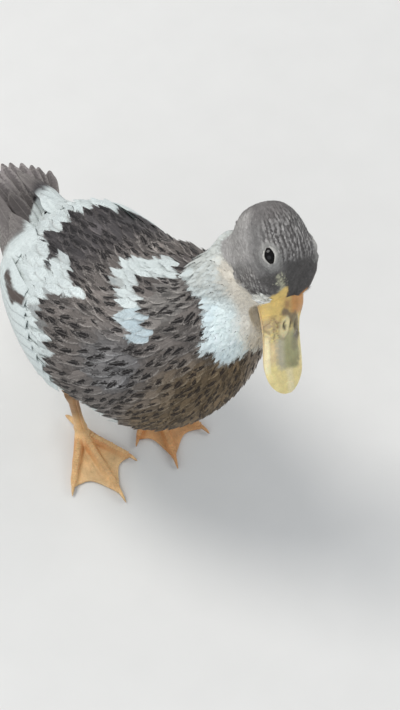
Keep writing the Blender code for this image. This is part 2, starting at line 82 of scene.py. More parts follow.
# The solids' own tables. A row of the body or the tail's root is forward, height, left, half width,
# reach above and below, and pitch in degrees.
TORSO_ROWS = (
    (-76, 103, 0, 27, 15, 15, 2),
    (-61, 103, 0, 37, 27, 27, 8),
    (-39, 104, 0, 45, 38, 39, 16),
    (-12, 106, 0, 51, 47, 47, 23),
    (18, 112, 0, 54, 50, 54, 29),
    (46, 123, 1, 51, 49, 55, 37),
    (67, 143, 5, 44, 42, 48, 48),
    (81, 163, 13, 36, 33, 38, 58),
    (88, 182, 23, 30, 26, 29, 66),
)
WING_GUIDE_ROWS = ((-128, 110, 0, 22, 9, 11, 0), (-102, 107, 0, 25, 12, 12, 0))
BODY_TABLE = np.array(WING_GUIDE_ROWS + TORSO_ROWS, float)
# Rows of the wing's shell: body row, upper and lower edge in degrees from the spine, and thickness.
WING_ROWS = np.array(
    (
        (6.5, 60, 82, 1.5),
        (6.0, 44, 99, 4),
        (5.0, 27, 107, 6),
        (4.0, 20, 108, 6),
        (3.0, 16, 103, 5),
        (2.0, 13, 95, 4),
        (1.0, 13, 84, 3),
        (0.0, 16, 72, 2.2),
        (-0.6, 22, 56, 1.6),
    )
)
TAIL_ROWS = np.array(
    (
        (-70, 103, 0, 26.6, 14.6, 14.6, 2),
        (-87, 103, 0, 24, 9, 12, -6),
        (-98, 103.5, 0, 21, 5, 8.5, -10),
        (-108, 104.5, 0, 17, 2.4, 5, -12),
        (-114, 105.4, 0, 12, 0.8, 2.4, -12),
    )
)
# Rows of the bill on the head's axes: ahead, top, bottom and half width.
UPPER_BILL_ROWS = np.array(
    (
        (23.0, 0.6, -13.3, 13.8),
        (31, -2.6, -14.6, 12.9),
        (39, -7.2, -16.2, 12.2),
        (47, -11.0, -17.8, 12.8),
        (55, -13.9, -19.2, 13.7),
        (61, -15.5, -19.9, 13.3),
        (66, -16.8, -20.5, 11.8),
        (70, -17.9, -20.9, 8.9),
        (72.8, -18.8, -21.0, 5.2),
        (74, -19.5, -20.9, 2.0),
    )
)
LOWER_BILL_ROWS = np.array(
    (
        (23.0, -13.8, -19.0, 11.8),
        (31, -14.9, -20.2, 11.4),
        (39, -16.5, -21.2, 11.0),
        (47, -18.1, -22.0, 11.6),
        (55, -19.5, -22.6, 12.5),
        (61, -20.2, -22.8, 12.1),
        (66, -20.8, -22.9, 10.6),
        (69.5, -21.2, -22.9, 7.6),
        (72, -21.3, -22.4, 3.4),
    )
)
# The left eye's place on the head's axes, its radius and the degrees that it looks up.
EYE = {"ahead": 0.2, "side": 13.2, "above": 10.7, "radius": 5.9, "tilt": 40}


def turned(turn, nod, tip):
    """The head's axes (ahead, left, above) as columns of forward, left, up."""
    a, b, c = math.radians(-turn), math.radians(nod), math.radians(-tip)
    about_up = np.array(((math.cos(a), -math.sin(a), 0), (math.sin(a), math.cos(a), 0), (0, 0, 1)))
    about_left = np.array(((math.cos(b), 0, math.sin(b)), (0, 1, 0), (-math.sin(b), 0, math.cos(b))))
    about_ahead = np.array(((1, 0, 0), (0, math.cos(c), -math.sin(c)), (0, math.sin(c), math.cos(c))))
    return about_up @ about_left @ about_ahead


HEAD_AXES = turned(*HEAD_ANGLES)


def from_head(points):
    return HEAD_PLACE + np.atleast_2d(points) @ HEAD_AXES.T


def to_head(points):
    return (np.atleast_2d(points) - HEAD_PLACE) @ HEAD_AXES


def to_model(points):
    """Bird millimetres to the model's metres."""
    points = np.atleast_2d(points)
    x = points[:, 1] - FOOTPRINT[1]
    y = FOOTPRINT[0] - points[:, 0]
    return np.column_stack((x, y, points[:, 2])) * MM


def to_bird(points):
    points = np.atleast_2d(points) / MM
    return np.column_stack((FOOTPRINT[0] - points[:, 1], points[:, 0] + FOOTPRINT[1], points[:, 2]))


def unit(vectors):
    return vectors / np.maximum(np.linalg.norm(vectors, axis=-1, keepdims=True), 1e-9)


def rows_at(table, places):
    """Rows of a table at fractional places on a Catmull-Rom curve."""
    places = np.atleast_1d(np.asarray(places, float))
    last = len(table) - 1
    i = np.clip(np.floor(places).astype(int), 0, last - 1)
    f = (places - i)[:, None]
    p1, p2 = table[i], table[i + 1]
    p0 = np.where((i > 0)[:, None], table[np.maximum(i - 1, 0)], 2 * p1 - p2)
    p3 = np.where((i + 2 <= last)[:, None], table[np.minimum(i + 2, last)], 2 * p2 - p1)
    curve = 2 * p1 + (p2 - p0) * f + (2 * p0 - 5 * p1 + 4 * p2 - p3) * f**2
    return 0.5 * (curve + (3 * p1 - p0 - 3 * p2 + p3) * f**3)


def section_points(rows, angles, lift=0.0):
    """Points round body sections, the angle in degrees from the spine towards the left side."""
    forward, height, left, half_width, above, below, pitch = rows.T
    turn = np.radians(angles)
    across = np.sign(np.sin(turn)) * np.abs(np.sin(turn)) ** (2 / 2.15) * (half_width + lift)
    rise = np.sign(np.cos(turn)) * np.abs(np.cos(turn)) ** (2 / 2.15)
    rise = rise * (np.where(rise > 0, above, below) + lift)
    tilt = np.radians(pitch)
    return np.column_stack((forward - np.sin(tilt) * rise, left + across, height + np.cos(tilt) * rise))


def wing_sheet(side, t, angle, lift):
    """Points lift above the body at body row t, angle degrees down from the spine on that side."""
    t, angle, lift = np.broadcast_arrays(np.atleast_1d(t), angle, lift)
    return section_points(rows_at(BODY_TABLE, t + 2), side * angle, lift)


def wing_shell_lift(t, angle):
    table = WING_ROWS[::-1]
    upper, lower, thick = (np.interp(t, table[:, 0], table[:, k]) for k in (1, 2, 3))
    across = np.clip((angle - upper) / (lower - upper), 0, 1)
    return 0.66 + thick * (0.15 + 0.85 * np.sin(np.pi * across) ** 0.6)


def fade(value, low, high):
    """0 below low and 1 above high, smooth between them; low may be the larger."""
    share = np.clip((value - low) / (high - low), 0, 1)
    return share * share * (3 - 2 * share)


def rough(points, scale, seed=0.0):
    """Smooth pseudo-noise from -1 to 1, about scale millimetres from crest to crest."""
    p = np.asarray(points) * (2 * math.pi / scale) + seed
    x, y, z = p.T
    value = np.sin(x + 1.7 * np.sin(0.63 * y + seed)) + np.sin(y * 1.13 + 1.3 * np.sin(0.71 * z + 2.1))
    value += np.sin(z * 0.93 + 1.5 * np.sin(0.83 * x + 4.2)) + 0.6 * np.sin(1.9 * x - 2.3 * y + 1.7 * z)
    return value / 3.6


# Plumage colours.


def hex_linear(text):
    """An sRGB hex colour as linear numbers."""
    values = np.array([int(text[i : i + 2], 16) / 255 for i in (1, 3, 5)])
    return np.where(values <= 0.04045, values / 12.92, ((values + 0.055) / 1.055) ** 2.4)


def layered(base, *layers):
    """Linear colours with layers over them in order, each an sRGB hex colour and its share at each point."""
    base = hex_linear(base) if isinstance(base, str) else base
    for colour, share in layers:
        base = base + (hex_linear(colour) - base) * np.reshape(np.clip(share, 0, 1), (-1, 1))
    return base


def near_ball(points, middle, radii):
    """How deep points are in an ellipsoid: 1 at its middle, 0 on it, below 0 outside."""
    return 1 - np.linalg.norm((points - np.array(middle)) / np.array(radii), axis=1)


def segment_gap(points, a, b):
    """Distance of points from the line between two places."""
    along = np.clip(((points - a) @ (b - a)) / max((b - a) @ (b - a), 1e-9), 0, 1)
    return np.linalg.norm(points - a - along[:, None] * (b - a), axis=1)


def near_path(points, path, radius):
    """As near_ball, for a tube round a line through places."""
    path = np.array(path, float)
    gaps = [segment_gap(points, a, b) for a, b in zip(path, path[1:] if len(path) > 1 else path)]
    return 1 - np.min(gaps, axis=0) / radius


def flat_place(points):
    """Places on the body laid flat: forward, and round from the spine to the left, as millimetres."""
    points = np.atleast_2d(np.asarray(points, float))
    middle = 104 + 0.33 * np.clip(points[:, 0], 0, None)
    roll = np.arctan2(points[:, 1], points[:, 2] - middle)
    return np.column_stack((points[:, 0], roll * 50))


def inside(points, outline):
    """Millimetres inside an outline given by places on the body, below 0 outside it."""
    here, corners = flat_place(points), flat_place(outline)
    nearest = np.full(len(here), 1e9)
    within = np.zeros(len(here), bool)
    for a, b in zip(corners, np.roll(corners, -1, axis=0)):
        nearest = np.minimum(nearest, segment_gap(here, a, b))
        if a[1] != b[1]:
            crossing = (a[1] > here[:, 1]) != (b[1] > here[:, 1])
            meet = a[0] + (here[:, 1] - a[1]) / (b[1] - a[1]) * (b[0] - a[0])
            within ^= crossing & (here[:, 0] < meet)
    return np.where(within, nearest, -nearest)


# The white of the rump, the right wing, the flanks' lower part and the belly, from the left side over
# the spine to the right side, under the belly and back along the tail's root.
REAR_WHITE = (
    (-4, 50, 121), (-24, 43, 129), (-40, 36, 134), (-48, 27, 138), (-49, 19, 138), (-53, 9, 137),
    (-54, 2, 137), (-59, -7, 133), (-50, -14, 142), (-43, -19, 147), (-33, -24, 150), (-24, -32, 149),
    (-20, -29, 151), (-26, -24, 151), (-24, -19, 152), (-18, -20, 153), (-11, -21, 151), (2, -26, 155),
    (-2, -34, 151), (-5, -40, 149), (-6, -45, 147), (-9, -50, 143), (-1, -54, 138), (6, -51, 138),
    (8, -54, 137), (16, -56, 132), (24, -57, 127), (16, -61, 119), (15, -62, 111), (24, -60, 105),
    (42, -56, 99), (60, -44, 92), (62, -1, 60), (-118, -1, 60), (-112, -30, 96), (-92, -22, 112),
    (-84, -10, 118), (-98, 6, 112), (-102, 20, 112), (-112, 34, 100), (-118, 1, 60), (40, 1, 60),
    (36, 52, 96), (8, 56, 108),
)
# The white bar round the right shoulder: across the spine, then down beside the neck.
SHOULDER_WHITE = (
    (5, 2, 157), (8, 12, 158), (15, 20, 158), (30, 23, 163), (38, 21, 167), (46, 14, 173),
    (41, 11, 172), (34, 9, 168), (31, 2, 167), (37, -5, 168), (44, -10, 169), (51, -12, 171),
    (58, -15, 170), (64, -19, 168), (68, -23, 164), (64, -28, 161), (57, -27, 162), (50, -25, 164),
    (42, -22, 164), (35, -18, 164), (29, -14, 163), (26, -11, 162), (8, -2, 157),
)
# A curl of white feathers on the right wing.
WHITE_CURL = ((-2, -35, 151), (6, -29, 154), (9, -32, 155), (6, -36, 153))
# Small marks: a place or a line of places, the reach and the colour.
MARKS = (
    (((-46, -44, 129), (-37, -48, 130), (-28, -52, 130)), 4.4, "#4f4540"),
    (((-31, -51, 131), (-20, -50, 134)), 3.6, "#544a45"),
    (((-38, -14, 149), (-30, -24, 150), (-25, -31, 149)), 3.6, "#353131"),
    (((-4, -43, 149),), 3.4, "#35302f"),
    (((2, -45, 148),), 3.0, "#3b3634"),
    (((15, -36, 153),), 4.5, "#3a3533"),
    (((4, -50, 143),), 4.0, "#5a5552"),
    (((38, -19, 165),), 2.4, "#35302f"),
    (((-53, -20, 142),), 2.0, "#4a4543"),
)


def collar_height(points):
    """Millimetres above the collar's lower edge, up the neck."""
    forward, left, height = points.T
    lean = 0.447 * forward - 0.245 * left + 0.861 * height - 194
    lean = lean - 9 * fade(near_ball(points, (80, 0, 188), 26), 0, 0.7)
    lean = lean + 3 * fade(near_ball(points, (111, 10, 164), 16), 0, 0.7)
    lean = lean + 8 * fade(left, 14, 30) + 5 * fade(left, 30, 46)
    return np.maximum(lean, 14 * near_ball(points, (70, 34, 190), 17))


def whiteness(points):
    """Millimetres inside the bird's white, below 0 where it is coloured."""
    patches = (
        inside(points, REAR_WHITE),
        inside(points, SHOULDER_WHITE),
        near_path(points, WHITE_CURL, 2.8) * 2.8,
        collar_height(points),
    )
    return np.max(patches, axis=0)


def head_depth(local):
    """Above 0 inside the head's form, below 0 outside, in shares of its size."""
    scaled = (local - np.array((-2.0, 0, -1.5))) / np.array((29.5, 24.0, 23.5))
    return 1 - np.linalg.norm(scaled, axis=1)


def on_head(points):
    """1 where the head's grey is and 0 on the neck's white, with the edge along the jaw and nape."""
    local = to_head(points)
    jaw = local[:, 2] + 17.0 - 0.347 * local[:, 0]
    nape = np.maximum(local[:, 0] + 0.6 * local[:, 2] + 29, local[:, 2] + 12)
    nape = np.maximum(nape, points[:, 2] - 221)
    return fade(jaw, -0.8, 0.8) * fade(nape, -1, 1) * fade(head_depth(local), -0.8, -0.6)


# On the head's axes: the cream line before the eye, and the white tuft at the corner of the gape.
CREAM_LINE = ((11.5, -10.8, 10.0), (15.5, -9.0, 8.6), (19.5, -6.6, 5.6))
GAPE_TUFT = (21.0, -12.8, -5.0)


def plumage(points, rng, jitter=1.0):
    """Colours of the feathers at points: ground, blotch and edge, and how strong the blotch is."""
    loose = rng.normal(0, jitter, len(points))
    lot = rng.random(len(points))
    wave = rough(points, 46) + 0.5 * rough(points, 19, 1.0)
    forward, left, height = points.T
    back = fade(forward, 12, -16)
    black = fade(forward, -6, -22)
    spine = fade(forward, 90, 60) * fade(near_ball(points, (44, 24, 164), 30), 0, 0.5)
    blue = fade(near_ball(points, (58, -42, 146), 27), 0, 0.6)
    breast = fade(forward * 0.8 - height * 0.35 + 4 * wave, 8, 30)
    fan = fade(near_ball(points, (60, -2, 180), 22), 0, 0.4)
    white = whiteness(points)
    whites = fade(white + 0.5 * loose + 0.6 * wave + 0.8 * rough(points, 5, 3.0), -0.8, 0.8)
    limb = whites * fade(near_ball(points, (60, -22, 168), 20), 0, 0.5)
    neck = collar_height(points)
    collar = whites * fade(neck, -4, 4)
    # Painted shade: the upper, back part of the white neck is painted a warm grey.
    dull = collar * fade(height, 190, 203)
    beige = collar * fade(left, 16, 22) * fade(forward, 74, 88)
    # Painted light: the throat under the bill is painted near white, against the shade that falls there.
    painted_light_throat = collar * fade(near_ball(points, (107, 26, 186), 15), 0, 0.6)
    marks = [
        (colour, fade(near_path(points, place, reach) + 0.12 * loose, 0.0, 0.25))
        for place, reach, colour in MARKS
    ]
    ground = layered(
        "#6a635e",
        ("#4d4847", back * 0.95),
        ("#454141", black),
        ("#57504d", spine),
        ("#717070", blue * 0.6),
        ("#67563f", breast * 0.95),
        ("#988e85", breast * fade(left, 12, 30) * 0.9),
        ("#7c7873", fan * 0.8),
        ("#ccd3d0", whites),
        ("#b1bfc3", limb * fade(wave, -0.6, 0.3)),
        ("#ecf6f3", collar),
        ("#c3d8de", collar * fade(wave, 0.0, 1.0) * 0.6),
        # Painted shade: a bluish grey towards the collar's lower edge.
        ("#bccdd4", collar * fade(neck, 6, 0) * 0.45),
        # Painted shade on the white neck's upper, back part.
        ("#b9bab3", dull * 0.9),
        ("#dcd3c3", beige * 0.95),
        # Painted light on the throat under the bill.
        ("#f6f1e6", painted_light_throat),
        *marks,
    )
    edge = layered(
        "#aaa39c",
        ("#77716d", back * 0.9),
        ("#6f6966", black),
        ("#a3a4a4", blue * 0.6),
        ("#948468", breast * 0.9),
        ("#d2d7d4", whites),
        ("#eff8f5", collar),
        # Painted shade on the white neck's upper, back part, on the feathers' edges too.
        ("#c7c8c1", dull * 0.9),
        ("#e3dbcd", beige * 0.95),
        *((colour, share * 0.7) for colour, share in marks),
    )
    blotch = layered(
        "#1d1918",
        ("#262222", back * 0.6),
        ("#1f1c1c", black * 0.7),
        ("#2a2019", breast),
        ("#a9b0b0", whites),
        ("#dde7e8", collar),
        ("#c2b8a6", beige),
    )
    # Two feathers in three have a full blotch, most others a faint one.
    spot = np.where(lot < 0.66, 1.0, np.where(lot < 0.88, 0.55, 0.1)) * (1 - 0.75 * whites)

    head = on_head(points)
    face = face_colours(to_head(points), rng)
    ground = ground + (face - ground) * head[:, None]
    blotch = blotch + (face * 0.7 - blotch) * head[:, None]
    edge = edge + (face * 1.2 - edge) * head[:, None]
    spot = np.where(head > 0.5, 0.45, spot)
    border = fade(np.abs(white), 5, 1) * (1 - collar) * (1 - head)
    edge = layered(edge, ("#8f8a86", border * 0.8))
    shade = np.exp((0.22 * loose + 0.08 * wave) * (1 - 0.75 * whites))[:, None]
    return ground * shade, blotch, edge * np.sqrt(shade), spot


def face_colours(local, rng):
    """The head's colours: streaked crown, dark brow and lore, pale cheek, cream line and gape."""
    ahead, left, above = local.T
    loose = rng.normal(0, 1, len(local))
    cheeks = fade(np.abs(left), 9, 15)
    crown = fade(above, 8, 14) * fade(ahead, 9, 3)
    # Streaks of the crown, 2.3 mm apart round the head, and finer broken ones on the lower cheek.
    around = np.arctan2(left, above + 6) * 21 + 1.0 * rough(local, 13) + 0.25 * loose
    streak = 0.5 + 0.5 * np.sin(around * 2 * math.pi / 2.3)
    low = cheeks * fade(above, 6, 0) * fade(ahead, 0, 8)
    broken = 0.5 + 0.5 * np.sin((above + 0.4 * ahead + 0.8 * rough(local, 9)) * 2 * math.pi / 2.1)
    brow = fade(ahead, 3, 8) * fade(np.abs(left - 3.5), 15.0, 11.0) * fade(above, -6, 2)
    lores = fade(ahead, 7, 12) * fade(np.abs(left), 8, 12) * fade(above, 1, 5)
    line = near_path(local, CREAM_LINE, 3.4)
    ground = layered(
        "#7c7976",
        ("#54504e", crown * fade(streak, 0.45, 0.75) * 0.9),
        ("#aeaaa6", crown * fade(streak, 0.4, 0.1) * 0.75),
        ("#6c6765", fade(ahead, -14, -24) * 0.7),
        ("#a5a19d", cheeks * fade(above, 8, 2) * fade(ahead, 4, -4) * 0.95),
        ("#65605d", low * 0.75),
        ("#b1ada8", low * fade(broken, 0.55, 0.9) * 0.8),
        ("#555250", brow * 0.92),
        ("#5a5653", lores * 0.8),
        ("#c4c1a6", fade(line + 0.3 * loose, 0.1, 0.8) * 0.8),
    )
    for side in (1, -1):
        facing, rise, way = eye_axes(side)
        out = local - eye_centre(side)
        ring = np.hypot((out @ way - 0.6) / 9.0, (out @ rise) / 6.0)
        ring = fade(ring + 0.10 * loose, 1.0, 0.8) * (out @ facing > 0)
        corner = near_ball(local * (1, -side, 1), GAPE_TUFT, 6.2)
        tuft = fade(corner + 0.05 * loose, 0.03, 0.15)
        ground = layered(ground, ("#a3a19c", ring * 0.75), ("#fbf8ee", tuft))
    return ground * np.exp(0.11 * loose + 0.05 * rough(local, 9))[:, None]


# The lie of the feathers: places down the middle of the bird, and how far each one's way reaches.
LIE_PLACES = np.array(
    (
        (98, 47, 218, 17),
        (90, 36, 200, 15),
        (86, 24, 182, 17),
        (76, 10, 158, 20),
        (58, 3, 134, 26),
        (30, 0, 116, 30),
        (-6, 0, 106, 32),
        (-45, 0, 104, 34),
        (-90, 0, 104, 34),
        (-120, 0, 106, 34),
    ),
    float,
)


def lie_of(points, normals):
    """The way feathers point at places on the skin: back over the head, down the neck, then to the tail."""
    line, reach = LIE_PLACES[:, :3], LIE_PLACES[:, 3]
    ways = np.gradient(line, axis=0)
    ways[0] = -HEAD_AXES[:, 0] * 20 + (line[1] - line[0]) * 0.25
    ways = unit(ways)
    gap = np.linalg.norm(points[:, None] - line[None], axis=2) / reach
    weight = np.exp(-0.5 * gap**2) + 1e-9
    way = (weight[:, :, None] * ways[None]).sum(1) / weight.sum(1)[:, None]
    front = fade(head_depth(to_head(points)), -0.15, 0.0)
    way = way * (1 - front[:, None]) + (-HEAD_AXES[:, 0])[None] * front[:, None]
    low = fade(points[:, 2], 80, 62) * fade(np.abs(points[:, 1]), 12, 22)
    way = way * (1 - low[:, None]) + np.array((-0.25, 0, -0.97))[None] * low[:, None]
    way = way - (way * normals).sum(1)[:, None] * normals
    return unit(way)


# Meshes.


def mesh_piece(name, points, faces):
    """An object from bird millimetres; faces is a list, or arrays that each hold faces of one size."""
    mesh = bpy.data.meshes.new(name)
    if isinstance(faces, list):
        mesh.from_pydata(to_model(points).tolist(), [], faces)
    else:
        mesh.vertices.add(len(points))
        mesh.vertices.foreach_set("co", to_model(points).ravel())
        mesh.loops.add(sum(part.size for part in faces))
        mesh.polygons.add(sum(len(part) for part in faces))
        sizes = np.concatenate([np.full(len(part), part.shape[1]) for part in faces])
        mesh.polygons.foreach_set("loop_start", np.cumsum(sizes) - sizes)
        mesh.loops.foreach_set("vertex_index", np.concatenate([part.ravel() for part in faces]))
        mesh.update(calc_edges=True)
        mesh.validate()
    mesh.shade_smooth()
    made = bpy.data.objects.new(name, mesh)
    bpy.context.scene.collection.objects.link(made)
    return made


def joined(solids):
    """The points and faces of several solids as one."""
    points, faces, count = [], [], 0
    for some, more in solids:
        points.append(some)
        faces += [tuple(count + i for i in face) for face in more]
        count += len(some)
    return np.vstack(points), faces


def grid_faces(rows, columns):
    """Quads of a grid of rows by columns of points."""
    corners = [i * columns + j for i in range(rows - 1) for j in range(columns - 1)]
    return [(a, a + 1, a + columns + 1, a + columns) for a in corners]


def closed_loft(rings):
    """Points and faces of a closed body through rings of equally many points."""
    rings = np.asarray(rings)
    count, sides = rings.shape[:2]
    points = rings.reshape(-1, 3)
    faces = [tuple(range(sides)), tuple(range(len(points) - sides, len(points)))]
    for i in range(count - 1):
        for k in range(sides):
            a, b = i * sides + k, i * sides + (k + 1) % sides
            faces.append((a, b, b + sides, a + sides))
    return points, faces


def set_outward(obj):
    """Turns a closed mesh's faces out."""
    work = bmesh.new()
    work.from_mesh(obj.data)
    bmesh.ops.recalc_face_normals(work, faces=work.faces)
    if work.calc_volume(signed=True) < 0:
        bmesh.ops.reverse_faces(work, faces=work.faces)
    work.to_mesh(obj.data)
    work.free()


def colour_attribute(mesh, name, values, repeat=1):
    """A colour for each point, from one for each group of repeat points."""
    data = np.ones((len(mesh.vertices), 4), np.float32)
    data[:, :3] = np.repeat(np.clip(values, 0, 1), repeat, axis=0)
    layer = mesh.color_attributes.new(name, "FLOAT_COLOR", "POINT")
    layer.data.foreach_set("color", data.ravel())


def float_attribute(mesh, name, values):
    layer = mesh.attributes.new(name, "FLOAT", "POINT")
    layer.data.foreach_set("value", np.asarray(values, np.float32))


def uv_layer(mesh, name, values):
    """A UV map from a place for each point."""
    corners = np.empty(len(mesh.loops), np.int32)
    mesh.loops.foreach_get("vertex_index", corners)
    layer = mesh.uv_layers.new(name=name)
    layer.uv.foreach_set("vector", np.asarray(values, np.float32)[corners].ravel())


def mesh_arrays(mesh):
    """A mesh's points and normals as forward, left, up."""
    points = np.empty(len(mesh.vertices) * 3)
    mesh.vertices.foreach_get("co", points)
    normals = np.empty(len(mesh.vertices) * 3)
    mesh.vertices.foreach_get("normal", normals)
    return to_bird(points.reshape(-1, 3)), to_normals(normals.reshape(-1, 3))


def to_normals(vectors):
    """Model directions as forward, left, up."""
    return np.column_stack((-vectors[:, 1], vectors[:, 0], vectors[:, 2]))


def finish_piece(obj, slot, *nodes):
    """Tells the frame the piece's body, and hides the nodes that it stands for; the slot is not used."""
    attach(obj, ROOT)
    if nodes:
        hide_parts(*nodes)


# Materials.


MATHS = "ShaderNodeMath"
VECTORS = "ShaderNodeVectorMath"


def add(tree, kind, *values, inputs=None, **settings):
    """Adds a node with its settings; values fill its inputs in order, and inputs by name or number.

    A value is a number, a socket to link, or a node, which stands for its first output.
    """
    node = tree.nodes.new(kind)
    for key, value in settings.items():
        setattr(node, key, value)
    for key, value in (*enumerate(values), *(inputs or {}).items()):
        if isinstance(value, bpy.types.Node):
            value = value.outputs[0]
        if isinstance(value, bpy.types.NodeSocket):
            tree.links.new(node.inputs[key], value)
        else:
            node.inputs[key].default_value = value
    return node


def new_material(name):
    """An empty material and its tree."""
    made = bpy.data.materials.new(name)
    made.use_nodes = True
    made.node_tree.nodes.clear()
    return made, made.node_tree


def surface(tree, colour, roughness, bump=None, more=None):
    """The end of a material; bump holds a height, its strength and its depth in millimetres."""
    inputs = {"Base Color": colour, "Roughness": roughness, **(more or {})}
    if bump:
        height, strength, depth = bump
        inputs["Normal"] = add(
            tree, "ShaderNodeBump", inputs={"Height": height, "Strength": strength, "Distance": depth * MM}
        )
    add(tree, "ShaderNodeOutputMaterial", add(tree, "ShaderNodeBsdfPrincipled", inputs=inputs))


def feather_material():
    """Feather keratin, grown in barbs off a shaft: matt, with a dark blotch near the tip and a pale edge.

    Real barbs are about 0.1 mm apart, which no render shows, so they are drawn 0.2 to 0.8 mm apart.
    """
    made, tree = new_material("feather_keratin")
    place = add(tree, "ShaderNodeSeparateXYZ", add(tree, "ShaderNodeUVMap", uv_map="Vane"))
    along = place.outputs[1]
    sideways = add(tree, MATHS, place, 2.0, -1.0, operation="MULTIPLY_ADD")
    across = add(tree, MATHS, sideways, operation="ABSOLUTE")
    ground, dark, pale = (
        add(tree, "ShaderNodeAttribute", attribute_name=name) for name in ("ground", "blotch", "edge")
    )
    spot, chance, strands = (
        add(tree, "ShaderNodeAttribute", attribute_name=name).outputs["Fac"]
        for name in ("spot", "chance", "strands")
    )
    where = add(tree, "ShaderNodeTexCoord").outputs["Object"]
    grain = add(tree, "ShaderNodeTexNoise", where, inputs={"Scale": 1 / (1.333 * MM), "Detail": 2.0})
    grain = add(tree, MATHS, grain, 0.5, operation="SUBTRACT")

    # Barbs lean towards the tip, and each feather has its own.
    barb = add(tree, MATHS, across, -0.30, along, operation="MULTIPLY_ADD")
    lot = add(tree, MATHS, chance, 700.0, operation="MULTIPLY")
    lot = add(tree, MATHS, barb, strands, lot, operation="MULTIPLY_ADD")
    inputs = {"W": lot, "Scale": 1.0, "Detail": 2.0}
    strand = add(tree, "ShaderNodeTexNoise", noise_dimensions="1D", inputs=inputs)
    strand = add(tree, MATHS, strand, 0.5, operation="SUBTRACT")

    # The blotch is an oval before the tip, off the middle by chance, with a broken edge.
    slip = add(tree, MATHS, chance, 0.5, -0.25, operation="MULTIPLY_ADD")
    middle = add(tree, "ShaderNodeCombineXYZ", slip, 0.74)
    out = add(tree, VECTORS, add(tree, "ShaderNodeCombineXYZ", sideways, along), middle, operation="SUBTRACT")
    out = add(tree, VECTORS, out, (0.55, 0.33, 1.0), operation="DIVIDE")
    reach = add(tree, VECTORS, out, operation="LENGTH").outputs["Value"]
    reach = add(tree, MATHS, grain, 1.6, reach, operation="MULTIPLY_ADD")
    reach = add(tree, MATHS, strand, 0.8, reach, operation="MULTIPLY_ADD")
    blotch = add(tree, "ShaderNodeMapRange", reach, 1.15, 0.65, interpolation_type="SMOOTHSTEP")
    blotch = add(tree, MATHS, blotch, spot, operation="MULTIPLY")

    # The pale edge is widest on one side.
    tip = add(tree, MATHS, strand, 0.30, along, operation="MULTIPLY_ADD")
    tip = add(tree, "ShaderNodeMapRange", tip, 0.84, 1.0, 0.0, 0.6, interpolation_type="SMOOTHSTEP")
    flank = add(tree, MATHS, strand, grain, operation="ADD")
    flank = add(tree, MATHS, flank, 0.6, sideways, operation="MULTIPLY_ADD")
    flank = add(tree, "ShaderNodeMapRange", flank, 0.6, 1.0, interpolation_type="SMOOTHSTEP")
    rim = add(tree, MATHS, add(tree, MATHS, tip, flank, operation="MAXIMUM"), 0.6, operation="MULTIPLY")
    shaft = add(tree, "ShaderNodeMapRange", across, 0.07, 0.02, 0.0, 0.25, interpolation_type="SMOOTHSTEP")
    colour = ground.outputs[0]
    for share, over in ((rim, pale), (blotch, dark), (shaft, pale)):
        inputs = {0: share, 6: colour, 7: over}
        colour = add(tree, "ShaderNodeMix", data_type="RGBA", inputs=inputs).outputs[2]

    # Fine strands are shaded less, so that white down stays soft.
    depth = add(tree, MATHS, strands, strands, operation="MULTIPLY")
    depth = add(tree, MATHS, 720.0, depth, operation="DIVIDE")
    level = add(tree, MATHS, grain, 0.4, 1.0, operation="MULTIPLY_ADD")
    level = add(tree, MATHS, strand, depth, level, operation="MULTIPLY_ADD")
    shaded = add(tree, VECTORS, colour, level, operation="MULTIPLY")
    surface(tree, shaded, 0.66, (strand, 0.15, 0.2), {"Specular IOR Level": 0.25})
    return made


def tinted_material(name, roughness, bump, grain, more=None):
    """A surface with its own painted tint, broken up and dimpled by noise, grain millimetres across."""
    made, tree = new_material(name)
    where = add(tree, "ShaderNodeTexCoord").outputs["Object"]
    fine = add(tree, "ShaderNodeTexNoise", where, inputs={"Scale": 1 / (grain * MM), "Detail": 4.0})
    broad = add(tree, "ShaderNodeTexNoise", where, inputs={"Scale": 1 / (7 * grain * MM), "Detail": 3.0})
    level = add(tree, MATHS, broad, 0.5, 0.6, operation="MULTIPLY_ADD")
    level = add(tree, MATHS, fine, 0.3, level, operation="MULTIPLY_ADD")
    tint = add(tree, "ShaderNodeAttribute", attribute_name="tint")
    surface(tree, add(tree, VECTORS, tint, level, operation="MULTIPLY"), roughness, (fine, bump, 0.4), more)
    return made


def scaled_skin_material():
    """Leg skin, grown in waxy plates: a soft sheen on plates 0.9 mm across, darker and dull between."""
    made, tree = new_material("scaled_leg_skin")
    where = add(tree, "ShaderNodeTexCoord").outputs["Object"]
    plates = add(
        tree, "ShaderNodeTexVoronoi", where, feature="DISTANCE_TO_EDGE", inputs={"Scale": 1 / (0.87 * MM)}
    )
    away = plates.outputs["Distance"]
    gap = add(tree, "ShaderNodeMapRange", away, 0.0, 0.14, interpolation_type="SMOOTHSTEP")
    broad = add(tree, "ShaderNodeTexNoise", where, inputs={"Scale": 1 / (7.14 * MM), "Detail": 4.0})
    level = add(tree, MATHS, broad, 0.7, 0.48, operation="MULTIPLY_ADD")
    level = add(tree, MATHS, gap, 0.2, level, operation="MULTIPLY_ADD")
    tint = add(tree, "ShaderNodeAttribute", attribute_name="tint")
    shaded = add(tree, VECTORS, tint, level, operation="MULTIPLY")
    surface(tree, shaded, 0.5, (gap, 0.45, 0.2), {"Subsurface Weight": 0.08, "Subsurface Scale": 2 * MM})
    return made


